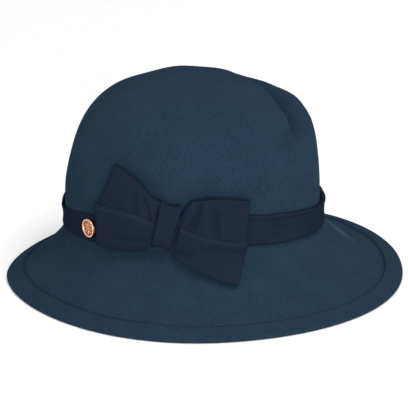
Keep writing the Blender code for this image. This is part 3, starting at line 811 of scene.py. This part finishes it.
def ribbon_material(ribbon):
    """Woven ribbon on the cloth's own map: fine ribs across it, finer threads along it, faint slubs, and a
    painted highlight along the loops' pleat edges.
    """
    made = Nodes("woven_ribbon")
    cloth = made.add("ShaderNodeUVMap", uv_map="cloth").outputs["UV"]
    ribs = made.bands(cloth, "X", scale=520, distortion=0.6, detail_scale=2)
    threads = made.bands(cloth, "Y", scale=780, distortion=0.8, detail_scale=3)
    weave = made.math("ADD", made.math("MULTIPLY", ribs, 0.65), made.math("MULTIPLY", threads, 0.35))
    slubs = made.noise(made.mapped(cloth, scale=(60, 900, 1)), scale=1, roughness=0.6)
    clouds = made.noise(made.where(), scale=55)
    silk, glint = tuple(ribbon.silk), tuple(ribbon.glint)
    dark = tuple(0.72 * c for c in silk)
    base = made.ramp(weave, (0.10, dark), (0.50, silk), (0.95, glint))
    streaked = made.mix(1.0, base, made.ramp(slubs, (0.3, 0.9), (0.7, 1.1)), "MULTIPLY")
    tone = made.ramp(clouds, (0.3, (0.93, 0.93, 0.95)), (0.7, (1.06, 1.06, 1.05)))
    cloudy = made.mix(1.0, streaked, tone, "MULTIPLY")
    # Painted highlight along the loops' folded pleat edges
    lit = made.mix(made.attribute("fold_highlight"), cloudy, (*ribbon.fold_highlight, 1))
    rough = made.ramp(slubs, (0.3, 0.50), (0.7, 0.62))
    fine = made.bump(weave, distance=0.00010, strength=0.6)
    made.shade(Base_Color=lit, Roughness=rough, Normal=fine, Sheen_Weight=0.005, Sheen_Roughness=0.4,
               Sheen_Tint=(0.6, 0.68, 0.9, 1), Specular_IOR_Level=0.0)
    return made.material


def copper_material(badge):
    """Rose copper, lightly brushed, with painted light: a paler painted highlight on the raised rim, painted
    shade in the hollows of the relief and a near-black ring of painted shadow under the rim.
    """
    made = Nodes("rose_copper")
    where = made.where()
    brushed = made.noise(made.mapped(where, scale=(1, 1, 14)), scale=900)
    patchy = made.ramp(made.noise(where, scale=700, detail=4, roughness=0.6), (0.2, 0.88), (0.6, 1))
    # How far each point goes from the rim's painted highlight through the copper to painted shade and the
    # painted shadow ring, a little uneven
    shine_and_shade = made.math("MULTIPLY", made.attribute("hollow"), patchy)
    base = made.ramp(shine_and_shade, (0.0, tuple(badge.rim_shine)), (0.2, tuple(badge.copper)),
                     (0.75, tuple(badge.shade)), (0.97, tuple(badge.dark)))
    rough = made.ramp(brushed, (0.3, 0.24), (0.7, 0.38))
    fine = made.bump(brushed, distance=0.00003, strength=0.4)
    made.shade(Base_Color=base, Metallic=1.0, Roughness=rough, Normal=fine)
    return made.material


class HAT_OT_felt_body(bpy.types.Operator):
    """Make the crown and brim, one blocked sheet of felt with its turned hem and crescent crease."""

    bl_idname = "hat.felt_body"
    bl_label = "Felt body"

    columns = 400
    even_hem_rows = 8
    brim_rows = 20
    crown_rows = 104
    rim_rows = 9
    inside_step = 3

    def sheet(self, felt, angle):
        """Inner face of the felt before it is creased, from the edge to near the top, with each row's
        distance from the edge, which counts on the hem alone, and each point's push of the crease."""
        even = np.linspace(felt.rest_width, felt.welt_width + EVEN_ROWS_TO, self.even_hem_rows)
        hem_run = np.concatenate([even, felt.welt_width + np.array(HEM_ROWS)])
        share = brim_shares(felt, angle, hem_run)
        hem = brim_surface(felt, angle[None, :], share)
        brim = brim_surface(felt, angle[None, :], share[-1:] * (1 - between(0, 1, self.brim_rows)[:, None]))
        climb = np.linspace(0, TOP_SHARE, self.crown_rows)[:, None]
        points = np.concatenate([hem, brim, plain_crown(felt, angle[None, :], climb)])
        run = np.append(hem_run, np.full(self.brim_rows + self.crown_rows, felt.brim_length))
        push = np.zeros((*points.shape[:2], 1))
        push[-self.crown_rows:, :, 0] = crease_push(felt, angle[None, :], climb)
        return points, run, push

    def execute(self, context):
        """The sheet swells along its normals by the sum of the swells and moves in by the crease's push, its
        outer face lies a hem profile farther out, and a half circle joins the two round the rim."""
        felt = context.scene.hat_felt
        even = np.linspace(0, 2 * np.pi, self.columns, endpoint=False)
        angle = even - CLOSER_BY * np.sin(even - CLOSER_TURN)
        points, run, push = self.sheet(felt, angle)
        normals = grid_normals(points)
        from_band = np.abs(points[..., 2] - break_height(felt, angle)[None, :] - BAND_MIDDLE)
        calm = ease(run, felt.rest_width, felt.welt_width)[:, None]
        calm = calm * ease(from_band, SWELLS_FROM, SWELLS_FULL)
        points = points + normals * (felt_swell(felt, points) * calm)[..., None]
        outer = points + normals * (welt_profile(felt, run)[:, None, None] - push)
        points = points - normals * push

        edge, up = points[0], normals[0]
        out = unit(np.cross(up, unit(np.roll(edge, -1, axis=0) - np.roll(edge, 1, axis=0))))
        out = np.where((out * edge).sum(-1, keepdims=True) > 0, out, -out)
        half = felt.welt_thickness / 2
        sweep = between(0, np.pi, self.rim_rows)[:, None, None]
        rim = edge + up * half + half * (-up * np.cos(sweep) + out * np.sin(sweep))
        rim[..., 2] = np.maximum(rim[..., 2], 0)
        inside = np.append(np.arange(0, len(points) - 1, self.inside_step), len(points) - 1)
        rows = np.concatenate([points[inside[::-1]], rim, outer])
        mesh = grid_mesh("felt_body", rows, poles=(points[-1].mean(axis=0), outer[-1].mean(axis=0)))
        place("felt_hat", mesh, felt_material(felt), "felt", "felt_body")
        return {"FINISHED"}


class HAT_OT_band(bpy.types.Operator):
    """Make the ribbon band: its folded section carried round the foot of the crown."""

    bl_idname = "hat.band"
    bl_label = "Ribbon band"

    columns = 480
    front_rows = 46
    back_rows = 8

    def execute(self, context):
        """The plain crown, plus its normal times the felt, the gap and the section's thickness, from a foot
        to a top that lean as the cosine of the turn and dip as a power of it."""
        felt, ribbon = context.scene.hat_felt, context.scene.hat_ribbon
        angle = np.linspace(0, 2 * np.pi, self.columns, endpoint=False)[None, :]
        table = np.array(BAND_ROWS)
        climb = np.linspace(0, 1, self.front_rows)
        section = smooth_between(table[:, 0], table[:, 1], climb)
        height = np.concatenate([climb, between(1, 0, self.back_rows)])[:, None]
        off = np.concatenate([section, np.zeros(self.back_rows)])[:, None] * ribbon.band_thickness
        front = off > 0
        slack = ribbon.band_slack * near_turn(angle, 0, SLACK_SPREAD)
        ripple = sum(
            row.size * np.sin(row.waves * angle + row.phase + row.shift * height) for row in BAND_RIPPLES
        )
        off = off + slack * front * ease(height, 0.0, SLACK_FULL) * (1 - ease(height, SLACK_TO, 1.0))
        off = off + front * RIPPLE_OUT * ripple * ease(height, RIPPLE_FROM, RIPPLE_FULL)

        forward = np.cos(angle)
        foot = ribbon.band_lift + ribbon.band_foot_rake * forward
        top = ribbon.band_height + ribbon.band_rake * forward - ribbon.band_dip * forward**DIP_SHARPNESS
        rise = foot + (top - foot) * height + RIPPLE_UP * ripple * height
        whole = felt.break_height + felt.crown_depth - break_height(felt, angle)
        share = 2 / np.pi * np.arcsin(rise / whole)
        around = np.broadcast_to(angle, share.shape)
        normal = crown_normal(felt, around, np.maximum(share, LOWEST_SHARE))
        points = plain_crown(felt, around, share) + normal * (felt.thickness + ribbon.gap + off)[..., None]
        points = np.concatenate([points, points[:1]])
        mesh = grid_mesh("hat_band", points, lay=walked_lay(points))
        weld(mesh)
        place("ribbon_band", mesh, ribbon_material(ribbon), "satin", "hat_band")
        return {"FINISHED"}


def near_side(felt, x, z):
    """Y of the felt's outer face towards the bow at each x and z: along every level line of the hat x is
    matched first, and then the height between two level lines."""
    angle = np.linspace(SIDE_FROM, SIDE_TO, SIDE_COLUMNS)[None, :]
    share = np.linspace(0, SIDE_CROWN, SIDE_CROWN_ROWS)[:, None]
    brim = brim_surface(felt, angle, np.linspace(SIDE_BRIM, 0, SIDE_BRIM_ROWS)[:-1, None])
    levels = np.concatenate([brim, plain_crown(felt, angle, share)])
    lift = np.full(levels.shape[:2], felt.thickness)
    lift[len(brim):] -= crease_push(felt, angle, share)
    across = np.gradient(levels, axis=1)
    levels = levels + unit(np.cross(across, np.gradient(levels, axis=0))) * lift[..., None]
    y = np.array([np.interp(x, level[:, 0], level[:, 1]) for level in levels])
    height = np.array([np.interp(x, level[:, 0], level[:, 2]) for level in levels])
    i = np.clip((height < z).sum(axis=0) - 1, 0, len(levels) - 2)[None]
    low, high = np.take_along_axis(height, i, 0)[0], np.take_along_axis(height, i + 1, 0)[0]
    t = np.clip((z - low) / np.maximum(high - low, 1e-9), 0, 1)
    return np.take_along_axis(y, i, 0)[0] * (1 - t) + np.take_along_axis(y, i + 1, 0)[0] * t


def lay_on_side(felt, flat):
    """Turns x, z and puff into points on the hat's side, each lifted off the felt by its puff."""
    x, z, puff = flat[..., 0].ravel(), flat[..., 1].ravel(), flat[..., 2].ravel()
    along = (x + felt.crown_set_back) / (felt.head_length / 2 + felt.thickness)
    along = np.clip(along, -SIDE_LIMIT, SIDE_LIMIT)
    across = np.sqrt(1 - along**2) / felt.head_width
    facing = across / np.hypot(across, along / felt.head_length)
    y = near_side(felt, x, z) - puff / facing
    return np.stack([x, y, z], axis=-1).reshape(flat.shape)


def knot_axes(ribbon):
    """Unit directions in x and z: up the leaning knot, and along the bow at a right angle to it."""
    lean = ribbon.knot_tilt
    return np.array([np.sin(lean), np.cos(lean)]), np.array([np.cos(lean), -np.sin(lean)])


def knot_middle(felt, ribbon):
    """X and z of the middle of the bow, a set height above the break's side."""
    return np.array([ribbon.knot_x, felt.break_height + felt.break_side_rise + ribbon.knot_height])


def loop_sections(felt, ribbon, knot_rows, rows, loop_length, side):
    """Marks along the loop, and for each the x, z and puff of its top edge, fold and lower edge."""
    up, along = knot_axes(ribbon)
    middle = knot_middle(felt, ribbon)
    marks, sections = [], []
    for row in knot_rows:
        here = middle + side * along * row.reach * ribbon.knot_width
        marks.append(row.along)
        sections.append([
            (*(here + up * spread * ribbon.knot_length), row.puff * ribbon.loop_depth,
             row.hidden_puff * ribbon.loop_depth)
            for spread in (row.top, 0, -row.low)
        ])
    for row in rows:
        marks.append(row.along)
        sections.append([
            (ribbon.knot_x + side * out * loop_length, middle[1] + rise * ribbon.ribbon_width,
             puff * ribbon.loop_depth, row.hidden_puff * ribbon.loop_depth)
            for out, rise, puff in (row[1:4], row[4:7], row[7:10])
        ])
    return np.array(marks), np.array(sections)


def dented(flat, along, across, dents):
    """Presses soft dents into a loop: each a bell curve of the distance to a line on the ribbon, fading at
    its ends."""
    width = np.linalg.norm(np.diff(flat[..., :2], axis=1), axis=-1).sum(axis=1).mean() / 2
    reach = np.linalg.norm(flat[-1, :, :2] - flat[0, :, :2], axis=-1).mean()
    spot = np.stack(np.broadcast_arrays(along * reach, across * width), axis=-1)
    for dent in dents:
        start = np.array([dent.along * reach, dent.across * width])
        line = np.array([dent.to_along * reach, dent.to_across * width]) - start
        t = ((spot - start) @ line) / (line @ line)
        off = np.linalg.norm(spot - start - np.clip(t, 0, 1)[..., None] * line, axis=-1)
        fade = ease(t, -DENT_FADE, DENT_FADE) * (1 - ease(t, 1 - DENT_FADE, 1 + DENT_FADE))
        flat[..., 2] -= dent.depth * fade * bell(off, dent.width)
    return flat


def ribbon_loop(felt, ribbon, knot_rows, rows, loop_length, side, dents):
    """A flattened loop of ribbon on a grid: along it from the knot, round the turn at its end and back
    behind, and across it from top edge to lower edge, where the upper panel runs on behind the lower one's
    folded edge."""
    marks, sections = loop_sections(felt, ribbon, knot_rows, rows, loop_length, side)
    panel = np.linspace(0, 1, PANEL_COLUMNS)
    fold = between(0, 1, FOLD_COLUMNS)

    def line(i, at):
        """X, z, puff and hidden puff of the top edge, the fold or the lower edge at these marks."""
        return np.stack([smooth_between(marks, sections[:, i, j], at) for j in range(4)], axis=-1)[:, None]

    def across(at, pleat, hidden=False):
        """Points on the sections at these marks: straight panels with a swell, joined by an S-shaped fold."""
        top, edge, low = (line(i, at) for i in range(3))
        drop = unit((low - edge)[..., :2]) * (ribbon.pleat_tuck * pleat[:, None, None])
        tucked = edge.copy()
        tucked[..., :2] += drop
        tucked[..., 2] -= ribbon.pleat_step * pleat[:, None]
        upper = top + (tucked - top) * panel[:, None]
        back = tucked + (edge - tucked) * fold[:, None]
        back[..., 2] -= FOLD_SINK * np.sin(np.pi * fold) * pleat[:, None]
        lower = edge + (low - edge) * panel[:, None]
        points = np.concatenate([upper, back, lower], axis=1)
        if hidden:
            return points[..., [0, 1, 3]]
        swell = 4 * panel * (1 - panel) * ribbon.panel_crown * np.minimum(1, at / SWELL_FULL)[:, None]
        rolled = ROLL_DEPTH * bell(panel, ROLL_REACH) * pleat[:, None]
        points[..., 2] += np.concatenate([swell, np.zeros((len(at), len(fold))), swell - rolled], axis=1)
        return points[..., :3]

    leaving = marks[len(knot_rows) - 1]
    out = np.append(0, np.linspace(leaving, 1, SEEN_ROWS))
    home = np.append(np.linspace(1, leaving, HIDDEN_ROWS)[1:], 0)
    seen = across(out, np.minimum(1, out / PLEAT_FULL))
    places = np.concatenate([panel, np.ones(len(fold)), 1 + panel])
    seen = dented(seen, out[:, None], places[None, :], dents)
    end = across(np.ones(1), np.zeros(1), hidden=True)[0]
    radius = (seen[-1, :, 2] - end[:, 2]) / 2
    follow = seen[-1, :, :2] - end[:, :2]
    seen[..., 0] -= side * radius * (out**2)[:, None]
    sweep = between(0, np.pi, TURN_ROWS)[:, None]
    turned = np.repeat(seen[-1:], len(sweep), axis=0)
    turned[..., 0] += side * radius * np.sin(sweep)
    turned[..., 2] += radius * (np.cos(sweep) - 1)
    hidden = across(home, np.zeros(len(home)), hidden=True)
    hidden[..., :2] += follow * ease(home, FOLLOW_FROM, 1.0)[:, None, None]
    hidden[..., 0] -= side * radius * (home**2)[:, None]

    points = np.concatenate([seen, turned, hidden])
    # Painted highlight along the lower panel's folded top edge, faded in near the knot
    fold_highlight = np.zeros(points.shape[:2])
    fold_highlight[:len(seen) + len(turned), -len(panel):] = LIT_STRENGTH * bell(panel - LIT_AT, LIT_REACH)
    fold_highlight[:len(seen)] *= ease(out, LIT_FROM, LIT_FULL)[:, None]
    return lay_on_side(felt, points), fold_highlight


class HAT_OT_bow(bpy.types.Operator):
    """Make the bow's two loops and the wrap round its middle."""

    bl_idname = "hat.bow"
    bl_label = "Bow"

    def loop(self, context, name, node, knot_rows, rows, loop_length, side, dents, material):
        """One loop: its grid turned to face outward, the lit edge kept on its points, and a wall of ribbon
        half on each side of it."""
        felt, ribbon = context.scene.hat_felt, context.scene.hat_ribbon
        points, fold_highlight = ribbon_loop(felt, ribbon, knot_rows, rows, loop_length, side, dents)
        if side > 0:
            points, fold_highlight = points[:, ::-1], fold_highlight[:, ::-1]
        mesh = grid_mesh(node, points, closed=False, lay=walked_lay(points, closed=False))
        keep_on_points(mesh, "fold_highlight", fold_highlight)
        piece = place(name, mesh, material, "satin", node)
        wall = piece.modifiers.new("wall", "SOLIDIFY")
        wall.thickness = ribbon.ribbon_wall
        wall.offset = 0

    def knot(self, context, material):
        """The wrap: a rounded oblong section carried across the bow, its edges rolled in."""
        felt, ribbon = context.scene.hat_felt, context.scene.hat_ribbon
        up, along = knot_axes(ribbon)
        around = np.linspace(0, 2 * np.pi, WRAP_COLUMNS, endpoint=False)[None, :]
        rise, puff = polar(superellipse(around, 1, 1, ribbon.knot_squareness), around)
        edge = np.concatenate([
            np.linspace(-0.5, -WRAP_EDGE, WRAP_EDGE_ROWS), between(-WRAP_EDGE, WRAP_EDGE, WRAP_ROWS),
            np.linspace(WRAP_EDGE, 0.5, WRAP_EDGE_ROWS),
        ])[:, None]
        arch = np.cos(np.pi * edge)
        run = (0.5 - np.abs(edge)) * ribbon.knot_width
        shell = -(WRAP_ROLL * (1 - ease(run, 0.0, WRAP_ROLL_WIDTH)) ** 2 + WRAP_HOLLOW * arch**2)
        pinch = PINCH * np.sin(PINCH_WAVES * np.pi * rise + PINCH_PHASE) * arch
        width = ribbon.knot_width * (1 + ribbon.knot_narrowing * rise) - ribbon.knot_waist * (1 - rise**2)
        middle = knot_middle(felt, ribbon) - along * ribbon.knot_shift - up * ribbon.knot_sink
        half_depth = ribbon.knot_depth / 2
        base = ribbon.band_thickness + 2 * ribbon.gap + half_depth

        def skin(inset):
            grow = 1 + (shell - inset) / half_depth
            flat = middle + (rise * grow * ribbon.knot_length / 2)[..., None] * up
            flat = flat + (width * edge)[..., None] * along
            off = base + puff * (half_depth + shell - inset) + pinch * (puff > 0) * puff
            return np.concatenate([flat, off[..., None]], axis=-1)

        outer, inner = skin(0.0), skin(ribbon.knot_wall)[::-1]
        points = lay_on_side(felt, np.concatenate([outer, inner, outer[:1]]))
        mesh = grid_mesh("bow_knot", points, lay=walked_lay(points)[..., ::-1])
        weld(mesh)
        place("bow_wrap", mesh, material, "satin", "bow_knot")

    def execute(self, context):
        ribbon = context.scene.hat_ribbon
        material = bpy.data.materials.get("woven_ribbon") or ribbon_material(ribbon)
        self.loop(context, "bow_loop_back", "bow_back_loop", BACK_KNOT_ROWS, BACK_LOOP_ROWS,
                  ribbon.back_loop, -1, BACK_LOOP_DENTS, material)
        self.loop(context, "bow_loop_front", "bow_front_loop", FRONT_KNOT_ROWS, FRONT_LOOP_ROWS,
                  ribbon.front_loop, 1, FRONT_LOOP_DENTS, material)
        self.knot(context, material)
        return {"FINISHED"}


def rosette(badge, angle, share):
    """Height of the relief over the turn and the share of the field's radius: petals where the cosine of
    their number of turns is high, each with a vein, a button in the middle, and beads near the rim."""
    beads = bell(share - BEADS_AT, BEADS_REACH) * np.clip(np.cos(badge.beads * angle), 0, 1) ** 0.5
    petal = np.cos(badge.petals * angle / 2) ** 2
    foot, top = PETAL_FOOT + PETAL_FOOT_GROWTH * share**2, PETAL_TOP + PETAL_TOP_GROWTH * share**2
    petals = ease(petal, foot, top)
    petals = petals * ease(share, *PETALS_FROM) * (1 - ease(share, *PETALS_TO))
    vein = 1 - VEIN_DEPTH * bell(np.arccos(np.clip(np.sqrt(petal), 0, 1)), VEIN_WIDTH)
    button = (1 - ease(share, *BUTTON_END)) * (BUTTON_TOP - BUTTON_FALL * share)
    return badge.relief * (petals * vein + button + BEADS_HEIGHT * beads)


class HAT_OT_badge(bpy.types.Operator):
    """Make the round copper badge with its raised rim, beads and rosette."""

    bl_idname = "hat.badge"
    bl_label = "Badge"

    columns = 288
    field_rows = 44

    def seat(self):
        """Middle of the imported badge's back, and unit directions to its side, up its face and out of it."""
        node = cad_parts["badge"].data
        corners = np.zeros(len(node.vertices) * 3)
        node.vertices.foreach_get("co", corners)
        corners = corners.reshape(-1, 3)
        middle = (corners.min(axis=0) + corners.max(axis=0)) / 2
        facing = np.linalg.eigh(np.cov((corners - middle).T))[1][:, 0]
        facing = facing * (-np.sign(facing[1]))
        side = unit(np.cross([0, 0, 1], facing))
        return middle + facing * ((corners - middle) @ facing).min(), side, np.cross(facing, side), facing

    def execute(self, context):
        """Rings about the badge's facing: reach and height of each row from the edge's table and then the
        flat field, with the rosette's relief added on the field."""
        badge = context.scene.hat_badge
        base, side, upward, facing = self.seat()
        angle = np.linspace(0, 2 * np.pi, self.columns, endpoint=False)[None, :]
        edge = np.array(BADGE_EDGE_ROWS)
        field = badge.diameter / 2 - badge.rim
        reach = np.append(edge[:, :3] @ [badge.diameter / 2, badge.seat, -badge.rim],
                          np.linspace(field - FIELD_FROM, FIELD_TO, self.field_rows))[:, None]
        height = np.append(edge[:, 3], np.full(self.field_rows, FIELD_HEIGHT))[:, None] * badge.thickness
        share = reach / field
        inside = (np.arange(len(reach)) >= len(edge))[:, None]
        relief = rosette(badge, angle, share)
        x, y = polar(reach, angle)
        rise = height + inside * relief
        points = base + x[..., None] * side + y[..., None] * upward + rise[..., None] * facing
        top = base + facing * (FIELD_HEIGHT * badge.thickness + BUTTON_TOP * badge.relief)
        mesh = grid_mesh("badge", points, poles=(base, top))
        # Painted light kept on the points: 0 for the rim's painted highlight, more painted shade the deeper
        # the hollow, 1 for the dark ring of painted shadow
        sunk = np.clip(1 - relief / (badge.relief * RAISED_AT), 0, 1)
        hollow = (RAISED + (DEEP - RAISED) * sunk) * inside
        # The dark ring under the rim, a painted shadow round the badge's edge
        hollow[:DARK_ROWS] = 1
        keep_on_points(mesh, "hollow", np.append(hollow, [1, RAISED]))
        place("round_badge", mesh, copper_material(badge), "copper", "badge")
        return {"FINISHED"}


class HAT_OT_stage(bpy.types.Operator):
    """Set up the floor, the soft lights and the camera."""

    bl_idname = "hat.stage"
    bl_label = "Stage"

    def area(self, name, at, aim, size, power):
        light = bpy.data.lights.new(name, "AREA")
        light.shape = "RECTANGLE"
        light.size, light.size_y = size
        light.energy = power
        lamp = bpy.data.objects.new(name, light)
        bpy.context.scene.collection.objects.link(lamp)
        lamp.location = at
        lamp.rotation_euler = (Vector(at) - Vector(aim)).to_track_quat("Z", "Y").to_euler()

    def execute(self, context):
        stage = context.scene.hat_stage
        half = stage.floor_size / 2
        corners = [(x * half, y * half, -FLOOR_GAP) for x, y in ((-1, -1), (1, -1), (1, 1), (-1, 1))]
        plane = bpy.data.meshes.new("floor")
        plane.from_pydata(corners, [], [(0, 1, 2, 3)])
        floor = bpy.data.objects.new("floor", plane)
        context.scene.collection.objects.link(floor)
        white = Nodes("white_paper")
        speckle = white.noise(white.where(), scale=40)
        white.shade(Base_Color=white.ramp(speckle, (0.3, 0.93), (0.7, 0.95)), Roughness=0.9)
        plane.materials.append(white.material)

        world = bpy.data.worlds.new("studio")
        context.scene.world = world
        world.use_nodes = True
        background = world.node_tree.nodes["Background"]
        background.inputs["Color"].default_value = (1, 1, 1, 1)
        background.inputs["Strength"].default_value = stage.sky
        self.area("key", at=(1.4, -1.5, 4.1), aim=(0, 0, 0.08), size=(2.6, 2.6), power=stage.key)
        self.area("fill", at=(0.35, -2.0, 0.45), aim=(0, 0, 0.09), size=(1.0, 0.6), power=stage.fill)

        lens = bpy.data.cameras.new("camera")
        camera = bpy.data.objects.new("camera", lens)
        context.scene.collection.objects.link(camera)
        rise = stage.elevation
        back = Vector((0, -math.cos(rise), math.sin(rise)))
        right = Vector((1, 0, 0))
        upward = back.cross(right)
        turned = Matrix.Rotation(stage.roll, 3, back) @ Matrix((right, upward, back)).transposed()
        aimed = turned @ Matrix.Rotation(stage.aim_up, 3, "X") @ Matrix.Rotation(stage.aim_side, 3, "Y")
        camera.matrix_world = Matrix.Translation(back * stage.distance) @ aimed.to_4x4()
        lens.sensor_width = 36
        lens.lens = stage.lens
        lens.clip_end = 50
        context.scene.camera = camera
        context.scene.view_settings.view_transform = "Standard"
        return {"FINISHED"}


class HAT_PT_panel(bpy.types.Panel):
    """The hat's sizes and the buttons that make its pieces."""

    bl_idname = "HAT_PT_panel"
    bl_label = "Wool felt hat"
    bl_space_type = "VIEW_3D"
    bl_region_type = "UI"
    bl_category = "Hat"

    def draw(self, context):
        scene = context.scene
        groups = (
            (HAT_OT_felt_body, scene.hat_felt), (HAT_OT_band, scene.hat_ribbon), (HAT_OT_bow, None),
            (HAT_OT_badge, scene.hat_badge), (HAT_OT_stage, scene.hat_stage),
        )
        for operator, settings in groups:
            box = self.layout.box()
            box.operator(operator.bl_idname)
            if settings is not None:
                for name in settings.__annotations__:
                    box.prop(settings, name)


CLASSES = (
    HatFeltSettings, HatRibbonSettings, HatBadgeSettings, HatStageSettings,
    HAT_OT_felt_body, HAT_OT_band, HAT_OT_bow, HAT_OT_badge, HAT_OT_stage, HAT_PT_panel,
)
SETTINGS = {
    "hat_felt": HatFeltSettings,
    "hat_ribbon": HatRibbonSettings,
    "hat_badge": HatBadgeSettings,
    "hat_stage": HatStageSettings,
}


def register():
    for made in CLASSES:
        bpy.utils.register_class(made)
    for name, settings in SETTINGS.items():
        setattr(bpy.types.Scene, name, bpy.props.PointerProperty(type=settings))


def unregister():
    for name in SETTINGS:
        delattr(bpy.types.Scene, name)
    for made in reversed(CLASSES):
        bpy.utils.unregister_class(made)


def main():
    register()
    bpy.ops.hat.stage()
    bpy.ops.hat.felt_body()
    bpy.ops.hat.band()
    bpy.ops.hat.bow()
    bpy.ops.hat.badge()
    bpy.context.view_layer.update()


if __name__ == "__main__":
    main()
